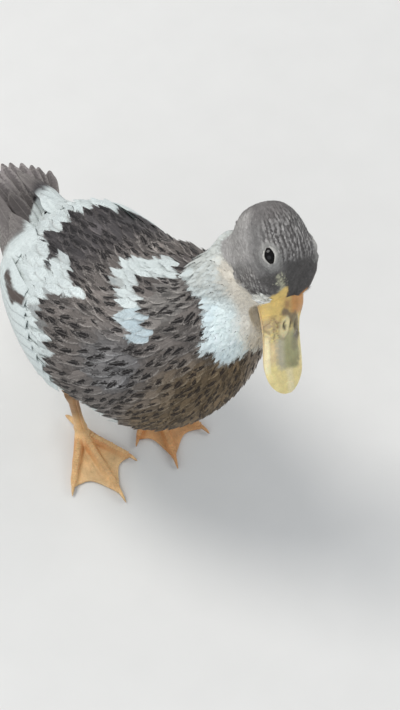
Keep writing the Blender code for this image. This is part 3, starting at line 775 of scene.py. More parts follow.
def scute_tree(material):
    """A node tree that sets low rounded plates along the paths it is given."""
    tree = bpy.data.node_groups.new("scutes", "GeometryNodeTree")
    tree.interface.new_socket("Geometry", in_out="INPUT", socket_type="NodeSocketGeometry")
    for name in ("Spacing", "Long", "Wide", "Thick"):
        tree.interface.new_socket(name, in_out="INPUT", socket_type="NodeSocketFloat").subtype = "DISTANCE"
    tree.interface.new_socket("Geometry", in_out="OUTPUT", socket_type="NodeSocketGeometry")
    given = add(tree, "NodeGroupInput").outputs
    path = add(tree, "GeometryNodeMeshToCurve", given["Geometry"])
    path = add(tree, "GeometryNodeResampleCurve", path, mode="LENGTH", inputs={"Length": given["Spacing"]})
    along = add(tree, "GeometryNodeInputTangent")
    turn = add(tree, "FunctionNodeAlignEulerToVector", axis="X", inputs={"Vector": along})
    size = add(tree, "ShaderNodeCombineXYZ", given["Long"], given["Wide"], given["Thick"])
    vary = add(tree, "FunctionNodeRandomValue", data_type="FLOAT", inputs={2: 0.85, 3: 1.1, 8: 4}).outputs[1]
    size = add(tree, VECTORS, size, operation="SCALE", inputs={"Scale": vary})
    plate = add(tree, "GeometryNodeMeshUVSphere", 10, 6, 1.0)
    plates = {"Points": path, "Instance": plate, "Rotation": turn, "Scale": size}
    real = add(tree, "GeometryNodeRealizeInstances", add(tree, "GeometryNodeInstanceOnPoints", inputs=plates))
    real = add(tree, "GeometryNodeSetShadeSmooth", real)
    add(tree, "NodeGroupOutput", add(tree, "GeometryNodeSetMaterial", real, inputs={"Material": material}))
    return tree


# The skin.


def node_solid(name):
    """Points and faces of a CAD node, merged, in bird millimetres."""
    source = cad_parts[name]
    work = bmesh.new()
    work.from_mesh(source.data)
    work.transform(source.matrix_world)
    bmesh.ops.remove_doubles(work, verts=work.verts, dist=1e-6)
    points = to_bird(np.array([v.co for v in work.verts]))
    faces = [tuple(v.index for v in f.verts) for f in work.faces]
    work.free()
    return points, faces


def wing_shell_solid(side):
    """Points and faces of a folded wing's shell without its feathers."""
    places = rows_at(WING_ROWS, np.linspace(0, len(WING_ROWS) - 1, 24))
    rings = []
    for t, upper, lower, thick in places:
        angles = np.linspace(upper, lower, 14)
        outer = wing_sheet(side, t, angles, wing_shell_lift(t, angles) + 0.8)
        inner = wing_sheet(side, t, angles[::-1], -4.0)
        rings.append(np.vstack((outer, inner)))
    return closed_loft(rings)


def applied(obj):
    """The object's mesh with its modifiers applied, in place of its own."""
    made = bpy.data.meshes.new_from_object(obj.evaluated_get(bpy.context.evaluated_depsgraph_get()))
    obj.modifiers.clear()
    obj.data = made
    return made


def remeshed(points, faces, voxel, name):
    """A voxel remesh of closed bodies, with only its largest surface kept."""
    made = mesh_piece(name, points, faces)
    set_outward(made)
    modifier = made.modifiers.new("remesh", "REMESH")
    modifier.mode = "VOXEL"
    modifier.voxel_size = voxel
    keep_largest(applied(made))
    return made


def edge_ends(mesh):
    """The two points of each edge."""
    ends = np.empty(len(mesh.edges) * 2, np.int64)
    mesh.edges.foreach_get("vertices", ends)
    return ends.reshape(-1, 2).T


def keep_largest(mesh):
    """Removes all but the surface with most points, found by spreading the lowest number along edges."""
    first, second = edge_ends(mesh)
    label = np.arange(len(mesh.vertices))
    while True:
        low = np.minimum(label[first], label[second])
        new = label.copy()
        np.minimum.at(new, first, low)
        np.minimum.at(new, second, low)
        new = new[new]
        if (new == label).all():
            break
        label = new
    names, counts = np.unique(label, return_counts=True)
    loose = np.flatnonzero(label != names[counts.argmax()])
    work = bmesh.new()
    work.from_mesh(mesh)
    work.verts.ensure_lookup_table()
    bmesh.ops.delete(work, geom=[work.verts[i] for i in loose], context="VERTS")
    work.to_mesh(mesh)
    work.free()


def relax(mesh, rounds, share=0.5):
    """Evens out a mesh by moving each point towards its neighbours."""
    first, second = edge_ends(mesh)
    points = np.empty(len(mesh.vertices) * 3)
    mesh.vertices.foreach_get("co", points)
    points = points.reshape(-1, 3)
    degree = np.bincount(np.append(first, second), minlength=len(points)).astype(float)[:, None]
    for _ in range(rounds):
        total = np.zeros_like(points)
        for axis in range(3):
            total[:, axis] = np.bincount(first, points[second, axis], len(points))
            total[:, axis] += np.bincount(second, points[first, axis], len(points))
        points += (total / np.maximum(degree, 1) - points) * share
    mesh.vertices.foreach_set("co", points.ravel())
    mesh.update()


def ball_rings(centre, radius, rings=30, sides=40, facing=(0, 0, 1.0), across=(1.0, 0, 0)):
    """Points and faces of a closed ball."""
    facing, across = np.array(facing, float), np.array(across, float)
    other = np.cross(facing, across)
    polar = np.radians(np.linspace(1, 179, rings))[:, None, None]
    turn = np.linspace(0, 2 * math.pi, sides, endpoint=False)[None, :, None]
    out = across * np.cos(turn) + other * np.sin(turn)
    return closed_loft(np.array(centre) + (facing * np.cos(polar) + out * np.sin(polar)) * radius)


# Where the coat is full: the nape, the left shoulder and the rump, with the reach and the millimetres.
FULL = (((67, 28, 205), 32, 5.6), ((34, 40, 160), 36, 5.6), ((-60, 22, 128), 36, 5.0))


def fullness(points):
    """How far the coat stands out over the solids, in millimetres."""
    swells = [high * fade(near_ball(points, place, reach), 0, 0.6) for place, reach, high in FULL]
    return np.max(swells, axis=0)


def coat_depth(points):
    """How far the skin lies inside the solids, in millimetres."""
    local = to_head(points)
    head = fade(head_depth(local), -0.25, -0.05)
    face = fade(local[:, 0], 14, 24) * head
    leg = fade(points[:, 2], 74, 60) * fade(np.abs(points[:, 1]), 14, 20)
    eye = np.maximum(near_ball(local, eye_centre(1), 11), near_ball(local, eye_centre(-1), 11))
    face = np.maximum(face, fade(eye, 0.1, 0.35))
    depth = 3.2 * (1 - head) + 1.3 * head
    depth = depth * (1 - face) + 0.4 * face
    depth = depth - fullness(points) * (1 - head)
    # The face is fuller before the eyes, on the left most.
    ahead, left, above = local.T
    full = fade(ahead, 3, 13) * (1 - 0.5 * fade(ahead, 18, 23)) * fade(above, 17, 10) * fade(above, -14, -5)
    full = full * fade(head_depth(local), -0.7, -0.4) * (3.6 * fade(left, 4, 11) + 1.0 * fade(-left, 4, 11))
    return (depth - full) * (1 - leg) + 1.2 * leg


# How many places are tried for each feather, and the size of the cells that hold one root each.
TRIES = 5.0
CELL = 0.8


class Skin:
    """The duck's skin with what the feathers need from it."""

    obj = points = normals = triangles = tree = bake = None

    @classmethod
    def build(cls, voxel):
        solids = [node_solid(name) for name in ("torso", "neck", "head", "thigh_left", "thigh_right")]
        solids += [wing_shell_solid(side) for side in (1, -1)]
        angles = np.arange(28) * 360 / 28
        rows = rows_at(TAIL_ROWS, np.linspace(0, len(TAIL_ROWS) - 1, 12))
        solids.append(closed_loft([section_points(np.tile(row, (len(angles), 1)), angles) for row in rows]))
        for side in (1, -1):
            local, faces = ball_rings(eye_centre(side), EYE["radius"] + 0.9)
            solids.append((from_head(local), faces))
        cls.obj = remeshed(*joined(solids), voxel, "skin")
        mesh = cls.obj.data
        relax(mesh, 9)
        places, normals = mesh_arrays(mesh)
        places = places - normals * coat_depth(places)[:, None]
        places = from_head(cls.socketed(to_head(places)))
        mesh.vertices.foreach_set("co", to_model(places).ravel())
        mesh.update()
        mesh.shade_smooth()
        cls.points, cls.normals = mesh_arrays(mesh)
        mesh.calc_loop_triangles()
        triangles = np.empty(len(mesh.loop_triangles) * 3, np.int64)
        mesh.loop_triangles.foreach_get("vertices", triangles)
        cls.triangles = triangles.reshape(-1, 3)
        cls.tree = BVHTree.FromPolygons(cls.points.tolist(), cls.triangles.tolist())
        cls.unwrap()

    @staticmethod
    def socketed(local):
        """Sinks the skin behind the eyes' openings."""
        for side in (1, -1):
            facing, rise, ahead = eye_axes(side)
            out = local - eye_centre(side)
            far = np.linalg.norm(out, axis=1)
            x, y = out @ ahead, out @ rise
            turn = np.arctan2(y, x)
            reach = np.hypot(x, y) / EYE["radius"]
            sunk = (reach < eye_opening(turn) + 0.12) & (out @ facing > 0) & (far < 9)
            local[sunk] = (eye_centre(side) + out * (EYE["radius"] - 1.1) / far[:, None])[sunk]
        return local

    @classmethod
    def unwrap(cls):
        """Lays the skin out flat as its bake map, and keeps each point's place in it for the feathers."""
        bpy.context.view_layer.objects.active = cls.obj
        cls.obj.select_set(True)
        bpy.ops.object.mode_set(mode="EDIT")
        bpy.ops.mesh.select_all(action="SELECT")
        bpy.ops.uv.smart_project(angle_limit=math.radians(66), island_margin=0.004)
        bpy.ops.object.mode_set(mode="OBJECT")
        cls.obj.select_set(False)
        mesh = cls.obj.data
        mesh.uv_layers[0].name = "OFBake"
        corners = np.empty(len(mesh.loops), np.int64)
        mesh.loops.foreach_get("vertex_index", corners)
        values = np.empty(len(mesh.loops) * 2, np.float32)
        mesh.uv_layers["OFBake"].uv.foreach_get("vector", values)
        cls.bake = np.zeros((len(mesh.vertices), 2), np.float32)
        cls.bake[corners] = values.reshape(-1, 2)

    @classmethod
    def nearest(cls, points):
        """The skin's nearest place to each point, its smooth normal, and a point of the skin beside it."""
        places = np.empty_like(points)
        found = np.empty(len(points), np.int64)
        for i, p in enumerate(points.tolist()):
            hit = cls.tree.find_nearest(p)
            places[i] = hit[0]
            found[i] = hit[2]
        corners = cls.triangles[found]
        gap = np.linalg.norm(cls.points[corners] - places[:, None], axis=2)
        weight = 1 / np.maximum(gap, 1e-4)
        weight /= weight.sum(1)[:, None]
        normals = unit((cls.normals[corners] * weight[:, :, None]).sum(1))
        return places, normals, corners[:, 0]


def scatter(spacing_at, keep_at, seed):
    """Random places on the skin, each further from all before it than the spacing there."""
    rng = np.random.default_rng(seed)
    corners = Skin.points[Skin.triangles]
    first, second = corners[:, 1] - corners[:, 0], corners[:, 2] - corners[:, 0]
    area = 0.5 * np.linalg.norm(np.cross(first, second), axis=1)
    middle = corners.mean(1)
    spacing = spacing_at(middle)
    chance = np.where(keep_at(middle), area / spacing**2, 0)
    count = int(chance.sum() * TRIES)
    pick = rng.choice(len(area), count, p=chance / chance.sum())
    a, b = rng.random((2, count))
    swap = a + b > 1
    a[swap], b[swap] = 1 - a[swap], 1 - b[swap]
    tri = corners[pick]
    points = tri[:, 0] + (tri[:, 1] - tri[:, 0]) * a[:, None] + (tri[:, 2] - tri[:, 0]) * b[:, None]
    keys = (points // CELL).astype(int).tolist()
    cells, kept = {}, []
    for i, (place, (x, y, z), gap) in enumerate(zip(points.tolist(), keys, spacing[pick].tolist())):
        near = range(-math.ceil(gap / CELL), math.ceil(gap / CELL) + 1)
        for dx, dy, dz in product(near, repeat=3):
            other = cells.get((x + dx, y + dy, z + dz))
            if other and sum((p - q) ** 2 for p, q in zip(place, other)) < gap * gap:
                break
        else:
            cells[x, y, z] = place
            kept.append(i)
    return points[kept]


# Feathers.

# Points along and across a long feather, and the part of the skin's bake map that a feather takes.
VANE_ROWS, VANE_COLUMNS = 19, 9
BAKE_PATCH = 0.0015


def vane_profile(along, tip=0.45):
    """Half the breadth of a vane along its length: narrow at the root, round at the tip."""
    rise = np.clip(along / 0.42, 0, 1)
    fall = np.clip((along - 0.55) / 0.45, 0, 1)
    return (0.42 + 0.58 * np.sin(rise * math.pi / 2)) * np.sqrt(np.clip(1 - (1 - tip) * fall**2.4, 0, 1))


def vane_template(rows, columns):
    """Places over a plain vane: across from -1 to 1 and along from 0 to 1, and its quads."""
    along, across = np.meshgrid(np.linspace(0, 1, rows), np.linspace(-1, 1, columns), indexing="ij")
    return across.ravel(), along.ravel(), grid_faces(rows, columns)


class Shape:
    """A feather's form: x in half widths, y in lengths, the map's u and v, how loose each point is, faces."""

    def __init__(self, x, y, u, v, loose, *faces):
        self.x, self.y, self.u, self.v, self.loose = (np.asarray(a, float) for a in (x, y, u, v, loose))
        self.faces = [self.outward(np.array(part)) for part in faces]

    def outward(self, faces):
        """Faces turned so that all look out of the skin."""
        x, y = self.x[faces], self.y[faces]
        area = (x * np.roll(y, -1, axis=1) - y * np.roll(x, -1, axis=1)).sum(1)
        return np.where(area[:, None] > 0, faces[:, ::-1], faces)


def barbed_vane(rows, columns, barbs, reach=1.0, seed=3):
    """A rounded vane whose edges and tip break up into fine barbs; reach makes them longer."""
    rng = np.random.default_rng(seed)
    across, along, quads = vane_template(rows, columns)
    x = list(across * vane_profile(along, 0.3))
    y = list(along * (1 - 0.34 * np.abs(across) ** 1.8 * along**2))
    u, v, loose = list(across), list(along), list((along > 0.75) * 0.5 * (1 - across**2))
    points = []
    for k in range(barbs):
        side = 1 if k % 2 else -1
        at = 0.34 + 0.62 * (k + rng.random()) / barbs
        tip = (0.03, 0.90 + (0.20 + 0.14 * rng.random()) * reach, (0.13 + 0.05 * rng.random()) * reach)
        for step, out, on in ((0.0, 0.90, 0.0), (0.045, 0.90, 0.0), tip):
            x.append(side * vane_profile(at + step, 0.3) * out)
            y.append((at + step) * (1 - 0.34 * 0.8 * (at + step) ** 2) + on)
            u.append(side * 0.96)
            v.append(min(at + step + on, 1.0))
            loose.append(0.6 if on else 0.0)
        points.append((len(x) - 3, len(x) - 2, len(x) - 1))
    for k in range(barbs // 2):
        at = -0.8 + 1.6 * (k + 0.5) / (barbs // 2)
        end = (0.03 * rng.normal(), (0.05 + 0.05 * rng.random()) * reach)
        for step, on in ((-0.09, 0.0), (0.09, 0.0), end):
            x.append((at + step) * vane_profile(1.0, 0.3))
            y.append(1 - 0.34 * abs(at + step) ** 1.8 - 0.012 + on)
            u.append(at)
            v.append(1.0)
            loose.append(3 * on)
        points.append((len(x) - 3, len(x) - 2, len(x) - 1))
    return Shape(x, y, u, v, loose, quads, points)


def lay(
    name, roots, shape, sizes, rng,
    splay=0.12, fray=0.04, sink=0.3, arch=0.16, stand=0.0, soft=0.5, strands=26.0,
):
    """Feathers of one shape over the skin, as one mesh: each follows the skin and rises towards its tip.

    They swing by splay radians, their barbs stray by fray, and their roots sink into the skin by sink
    millimetres. Arch bends their sides down, stand lifts single barbs, and soft takes the skin's normals.
    """
    count, per = len(roots), len(shape.x)
    places, normals, corner = Skin.nearest(roots)
    way = lie_of(places, normals)
    side = np.cross(normals, way)
    swing = rng.normal(0, splay, count)[:, None]
    way, side = way * np.cos(swing) + side * np.sin(swing), side * np.cos(swing) - way * np.sin(swing)
    stretch = np.exp(rng.normal(0, 0.11, count))
    length, width, rise = (np.broadcast_to(v, count) * stretch for v in sizes)
    run = shape.y[None] + rng.normal(0, fray, (count, per)) * shape.loose[None]
    breadth = shape.x[None] + rng.normal(0, fray * 1.6, (count, per)) * shape.loose[None]
    points = places[:, None] + way[:, None] * (run * length[:, None])[:, :, None]
    points = points + side[:, None] * (breadth * width[:, None])[:, :, None]
    flat, flat_normals, _ = Skin.nearest(points.reshape(-1, 3))
    lift = -sink + (rise[:, None] + sink) * np.clip(run, 0, 1.2) ** 0.9
    lift = lift - arch * width[:, None] * shape.x[None] ** 2 * (0.4 + 0.6 * shape.y[None])
    uneven = rng.normal(0, 0.10, (count, 1)) + stand * rng.normal(0, 1, (count, per))
    lift = lift + rise[:, None] * uneven * shape.y[None]
    points = flat + flat_normals * np.maximum(lift, -0.4).reshape(-1)[:, None]
    base = (np.arange(count) * per)[:, None, None]
    faces = tuple((base + part[None]).reshape(-1, part.shape[1]) for part in shape.faces)
    obj = mesh_piece(name, points, faces)
    level = unit(mesh_arrays(obj.data)[1] * (1 - soft) + flat_normals * soft)
    level = np.column_stack((level[:, 1], -level[:, 0], level[:, 2]))
    obj.data.normals_split_custom_set_from_vertices(level.tolist())
    seen = places + way * (length * 0.62)[:, None]
    dress_vanes(obj, per, shape.u, shape.v, plumage(seen, rng), rng, corner, strands)
    return obj


def dress_vanes(obj, per, u, v, colours, rng, corner, strands):
    """Gives joined vanes their colours, their own map and their patch of the skin's layout."""
    mesh = obj.data
    *tints, spot = colours
    count = len(mesh.vertices) // per
    repeat = len(mesh.vertices) // len(spot)
    for name, values in zip(("ground", "blotch", "edge"), tints):
        colour_attribute(mesh, name, values, repeat)
    float_attribute(mesh, "spot", np.repeat(spot, repeat))
    float_attribute(mesh, "chance", np.repeat(rng.random(count), per))
    float_attribute(mesh, "strands", np.full(len(mesh.vertices), strands))
    uv_layer(mesh, "Vane", np.column_stack((np.tile(u * 0.5 + 0.5, count), np.tile(v, count))))
    patch = np.column_stack((u, v * 2 - 1)) * BAKE_PATCH
    bake = np.repeat(Skin.bake[corner], per, axis=0) + np.tile(patch, (count, 1))
    uv_layer(mesh, "OFBake", np.clip(bake, 0.0, 1.0))


def closed_vane_faces(rows, columns):
    """Faces of a thin closed vane, whose upper points come before its lower ones."""
    per = rows * columns
    top = grid_faces(rows, columns)
    under = [tuple(per + i for i in face[::-1]) for face in top]
    rim = list(range(columns)) + [r * columns + columns - 1 for r in range(1, rows)]
    rim += [(rows - 1) * columns + c for c in range(columns - 2, -1, -1)]
    rim += [r * columns for r in range(rows - 2, 0, -1)]
    return top + under + [(b, a, per + a, per + b) for a, b in zip(rim, rim[1:] + rim[:1])]


def solid_vanes(name, sheets, thick, rng, colour_of):
    """Closed long feathers, thick millimetres through, from sheets of points with their normals."""
    faces = closed_vane_faces(VANE_ROWS, VANE_COLUMNS)
    points, faces = joined([(np.vstack((sheet, sheet - normal * thick)), faces) for sheet, normal in sheets])
    obj = mesh_piece(name, points, faces)
    set_outward(obj)
    corner = Skin.nearest(np.array([sheet[len(sheet) // 2] for sheet, _ in sheets]))[2]
    across, along, _ = vane_template(VANE_ROWS, VANE_COLUMNS)
    colours = colour_of(points)
    dress_vanes(obj, 2 * len(across), np.tile(across, 2), np.tile(along, 2), colours, rng, corner, 90.0)
    return obj


# How the feathers change over the bird: spacing, length, half width and rise, in millimetres.


def ruff_at(points):
    """1 behind the neck and on the left shoulder, where the coat stands out furthest, and 0 elsewhere."""
    near = np.maximum(near_ball(points, (64, 27, 198), 28), near_ball(points, (38, 38, 164), 32))
    return fade(near, 0, 0.5) * fade(points[:, 2], 214, 205)


def feather_sizes(points):
    """Spacing, length, half width and rise of the feathers at points."""
    local = to_head(points)
    head = (on_head(points) > 0.5) * 1.0
    eye = np.maximum(near_ball(local, eye_centre(1), 17), near_ball(local, eye_centre(-1), 17))
    gape = near_ball(local * (1, -1, 1), GAPE_TUFT, 5.5)
    gape = fade(np.maximum(gape, near_ball(local, GAPE_TUFT, 5.5)), 0, 0.2)
    bill_root = fade(local[:, 0], 4, 17) * fade(head_depth(local), -0.7, -0.5) * fade(points[:, 2], 188, 196)
    face = np.maximum(bill_root, head * fade(eye, 0.2, 0.6))
    neck = fade(collar_height(points), -4, 6)
    rear = fade(points[:, 0], 0, -70)
    front = fade(points[:, 0] * 0.8 - points[:, 2] * 0.35, 0, 40)
    leg = fade(points[:, 2], 76, 64) * fade(np.abs(points[:, 1]), 16, 22) * fade(points[:, 0], 30, 10)
    spacing = 4.9 + 0.4 * rear - 1.8 * front
    length = 15.0 + 4.5 * rear - 5.0 * front
    half_width = 2.9 + 1.6 * rear - 0.85 * front
    rise = 2.2 + 0.5 * rear - 0.9 * front
    rump = fade(near_ball(points, (-60, 23, 130), 40), 0, 0.6)
    # Each part's share, and its sizes in place of those before it.
    groups = (
        (rump, (spacing, length, half_width, 4.0)),
        (neck, (1.75, 9.0, 2.4, 0.95)),
        (ruff_at(points) * (1 - neck), (spacing, length, half_width, 2.6)),
        (neck * ruff_at(points), (1.9, 11.0, 2.7, 4.0)),
        (leg, (2.6, 8.0, 2.0, 1.3)),
        (head, (1.15, 4.2, 0.85, 0.4)),
        (face, (0.85, 2.6, 0.62, 0.35)),
        (gape, (0.9, 4.2, 1.0, 1.7)),
    )
    sizes = (spacing, length, half_width, rise)
    for share, values in groups:
        sizes = [old + (new - old) * share for old, new in zip(sizes, values)]
    return sizes


def eye_axes(side):
    """The eye's own directions on the head: out of it, up the head from it, and ahead."""
    tilt = math.radians(EYE["tilt"])
    facing = np.array((0, side * math.cos(tilt), math.sin(tilt)))
    rise = np.array((0, -side * math.sin(tilt), math.cos(tilt)))
    return facing, rise, np.array((1.0, 0, 0))


def eye_opening(turn):
    """The almond opening's reach from the eye's middle, in shares of the ball's radius."""
    along, over = np.abs(np.cos(turn)) / 0.84, np.abs(np.sin(turn)) / 0.47
    return 1 / (along**1.5 + over**1.5) ** (1 / 1.5)


def eye_centre(side):
    """The eye's middle on the head's axes."""
    return np.array((EYE["ahead"], side * EYE["side"], EYE["above"]))


def bare_at(points):
    """True where no feather grows: round the eyes, at the bill's root, and below the ankles."""
    local = to_head(points)
    bare = np.zeros(len(points), bool)
    for side in (1, -1):
        facing, rise, ahead = eye_axes(side)
        out = local - eye_centre(side)
        # Feathers before the eye point back at it, so the bare part reaches further ahead.
        bare |= (((out @ ahead - 1.0) / 7.0) ** 2 + ((out @ rise) / 4.0) ** 2 < 1) & (out @ facing > 1)
    bare |= (local[:, 0] > bill_margin(local)) & (head_depth(local) > -0.6) & (local[:, 2] > -9.5)
    bare |= (points[:, 2] < 51) & (points[:, 0] < 40)
    return bare


def bill_margin(local):
    """How far ahead the feathers reach at the bill's root: a brow's peak, a notch each side, a full chin."""
    off = np.abs(local[:, 1] - 3.0)
    margin = 24.2 - 5.6 * fade(off, 3.5, 7.6) + 2.6 * fade(off, 9, 13.5)
    margin = margin + 3.2 * fade(local[:, 1], 4, 8)
    corner = np.maximum(near_ball(local, GAPE_TUFT, 5.0), near_ball(local * (1, -1, 1), GAPE_TUFT, 5.0))
    margin = margin + 4 * fade(corner, 0, 0.3)
    chin = fade(local[:, 2], -5.5, -8.5)
    return margin + (25.5 - margin) * chin


class WingPlaces:
    """Body row and angle of places on the wings, found from a cloud of known ones."""

    tree = None
    values = None

    @classmethod
    def build(cls):
        cloud, values = [], []
        for side in (1, -1):
            for t in np.linspace(-0.6, 6.4, 60):
                angles = np.linspace(8, 112, 50)
                cloud.append(wing_sheet(side, t, angles, wing_shell_lift(t, angles) - 2.0))
                values.append(np.column_stack((np.full(50, t), angles)))
        cloud, cls.values = np.vstack(cloud), np.vstack(values)
        cls.tree = KDTree(len(cloud))
        for i, p in enumerate(cloud.tolist()):
            cls.tree.insert(p, i)
        cls.tree.balance()

    @classmethod
    def at(cls, points):
        found = np.array([cls.tree.find(p)[1:] for p in points.tolist()])
        values = cls.values[found[:, 0].astype(int)]
        far = found[:, 1] > 9
        return np.where(far, 99, values[:, 0]), values[:, 1]


def under_flight(points):
    """True where the wing's long feathers lie, so that no body feathers grow."""
    t, angle = WingPlaces.at(points)
    table = WING_ROWS[::-1]
    upper = np.interp(t, table[:, 0], table[:, 1])
    lower = np.interp(t, table[:, 0], table[:, 2])
    return (t < 0.7) & (t > -2) & (angle > upper + 4) & (angle < lower - 6) & (points[:, 0] > -90)


# Tiers of the wing's long feathers: how many, body row and angle of the lowest one's root and the
# highest one's root, then of their tips, half width, and how far the tier stands over the shell.
WING_TIERS = (
    (7, (1.5, 74), (1.7, 48), (-0.78, 55), (-1.78, 25), 5.0, 0.5),
    (9, (3.1, 99), (2.9, 60), (0.9, 83), (0.0, 48), 6.0, 0.9),
    (6, (2.0, 58), (1.9, 24), (0.2, 50), (-0.8, 23), 6.6, 1.0),
    (10, (4.0, 103), (3.2, 52), (2.4, 98), (1.1, 54), 5.6, 1.4),
)
# Where the tail's feathers spread from. Its tiers: the kind, how many, the swing of the outermost in
# degrees, how far back a middle one's root and tip are, half width, height and pitch.
TAIL_START = np.array((-66, 0, 101.5))
TAIL_TIERS = (
    ("rectrices", 14, 32, 24, 76, 5.9, 1.7, 9),
    ("coverts", 9, 30, 16, 50, 5.4, 4.2, 9),
    ("vent", 9, 26, 16, 50, 5.6, -5.5, 6),
)


def flight_sheets(side, rng):
    """Sheets and normals of one wing's long feathers."""
    sheets = []
    across, along, _ = vane_template(VANE_ROWS, VANE_COLUMNS)
    for count, low_root, high_root, low_tip, high_tip, half_width, stand in WING_TIERS:
        for share in np.linspace(0, 1, count):
            root = np.array(low_root) + (np.array(high_root) - low_root) * share
            tip = np.array(low_tip) + (np.array(high_tip) - low_tip) * share
            tip = tip + rng.normal(0, (0.03, 0.6))
            t = root[0] + (tip[0] - root[0]) * (along * (1 - 0.06 * np.abs(across) ** 2 * along**3))
            angle = root[1] + (tip[1] - root[1]) * along
            first = wing_sheet(side, t, angle, 3.0)
            degree = np.linalg.norm(wing_sheet(side, t, angle + 1, 3.0) - first, axis=1)
            breadth = across * half_width * vane_profile(along, 0.12) * (1 + rng.normal(0, 0.015, len(along)))
            middle = t.reshape(VANE_ROWS, VANE_COLUMNS)[:, VANE_COLUMNS // 2]
            lift = wing_shell_lift(np.repeat(middle, VANE_COLUMNS), angle)
            lift = lift + stand - 2.4 * fade(along, 0.3, 0.0) + 0.6 * (across + 1) - 0.25 * across**2
            lift = lift + 0.25 * fade(along, 0.8, 1.0) + 0.8 * fullness(first)
            spread = angle + breadth / degree
            points = wing_sheet(side, t, spread, lift)
            sheets.append((points, unit(wing_sheet(side, t, spread, lift + 1.0) - points)))
    return sheets


def tail_sheets(rng):
    """Sheets, normals and kinds of the tail's fan: long feathers, then coverts over and under the roots."""
    sheets, kinds = [], []
    across, along, _ = vane_template(VANE_ROWS, VANE_COLUMNS)
    for kind, count, widest, near, far, half_width, height, pitch in TAIL_TIERS:
        lean = math.radians(pitch)
        for k in range(count):
            place = (k - (count - 1) / 2) / ((count - 1) / 2)
            turn = math.radians(widest * place + rng.normal(0, 0.8))
            level, rise = math.cos(turn) * math.cos(lean), math.cos(turn) * math.sin(lean)
            back = np.array((-level, math.sin(turn), rise))
            sideways = unit(np.array((math.sin(turn), math.cos(turn), -math.sin(2 * turn) * 0.12)))
            up = np.cross(sideways, back)
            up = up if up[2] > 0 else -up
            low = 7.6 * abs(place) * (1 if height > 0 else 0.5) + (0.25 if place > 0 else 0)
            reach = far - 8.5 * place**2 + rng.normal(0, 0.6)
            run = near + (reach - near) * along * (1 - 0.07 * across**2 * along**3)
            breadth = across * half_width * vane_profile(along, 0.15) * (1 + rng.normal(0, 0.012, len(along)))
            lift = height - low + 0.28 - 0.28 * across**2
            points = TAIL_START + back * run[:, None] + sideways * breadth[:, None] + up * lift[:, None]
            if kind == "vent":
                points = points - up * (3.5 * (1 - along))[:, None]
            sheets.append((points, np.tile(up, (len(along), 1))))
            kinds.append(kind)
    return sheets, kinds


def tail_edge(points):
    """How far back of the white, in millimetres, the grey of the tail and the wings' tips begins."""
    return np.clip(-97 - 1.18 * (points[:, 1] - 5), -108, -76) - points[:, 0]


def tail_colours(points, kinds, rng):
    """Grey-brown long feathers with pale tips; the coverts keep the body's markings."""
    ground, blotch, edge, spot = plumage(points, rng, 0.3)
    per = len(points) // len(kinds)
    shade = np.repeat(np.exp(rng.normal(0, 0.13, len(kinds))), per)[:, None]
    kinds = np.repeat(kinds, per)
    long = (kinds == "rectrices") | ((kinds == "coverts") & (tail_edge(points) > 0))
    grey = layered(hex_linear("#5d5755") * shade, ("#8f8785", fade(points[:, 0], -112, -136)))
    ground[long] = grey[long]
    blotch[long] = hex_linear("#474240")
    edge[long] = hex_linear("#99938d")
    spot[long] = 0.6
    under = kinds == "vent"
    ground[under] = hex_linear("#d5d8d2")
    edge[under] = hex_linear("#e6e9e4")
    spot[under] = 0.0
    return ground, blotch, edge, spot


# Settings, operators and panel.


class DuckPlumage(bpy.types.PropertyGroup):
    seed: bpy.props.IntProperty(name="Seed", description="Changes how each feather lies", default=7)
    density: bpy.props.FloatProperty(
        name="Density", description="How close the feathers stand", subtype="FACTOR",
        default=1.0, min=0.3, max=1.5,
    )
    skin_cell: bpy.props.FloatProperty(
        name="Skin detail", description="The skin's finest form", unit="LENGTH", precision=4,
        default=1.3 * MM, min=0.5 * MM,
    )


class DuckColours(bpy.types.PropertyGroup):
    bill: bpy.props.FloatVectorProperty(
        name="Bill", description="The bill's main colour", subtype="COLOR", min=0, max=1,
        default=hex_linear("#dccb8c").tolist(),
    )
    leg: bpy.props.FloatVectorProperty(
        name="Leg", description="The leg skin's colour", subtype="COLOR", min=0, max=1,
        default=hex_linear("#e3b982").tolist(),
    )
    lid: bpy.props.FloatVectorProperty(
        name="Eyelid", description="The eyelid's colour", subtype="COLOR", min=0, max=1,
        default=hex_linear("#b9b6ae").tolist(),
    )


class DuckStageSettings(bpy.types.PropertyGroup):
    azimuth: bpy.props.FloatProperty(
        name="Azimuth", description="The camera's turn round the duck", subtype="ANGLE",
        default=math.radians(-36),
    )
    elevation: bpy.props.FloatProperty(
        name="Elevation", description="The camera's height over the floor", subtype="ANGLE",
        default=math.radians(52),
    )
    distance: bpy.props.FloatProperty(
        name="Distance", description="From the camera to the floor point it looks at", unit="LENGTH",
        default=1.2,
    )


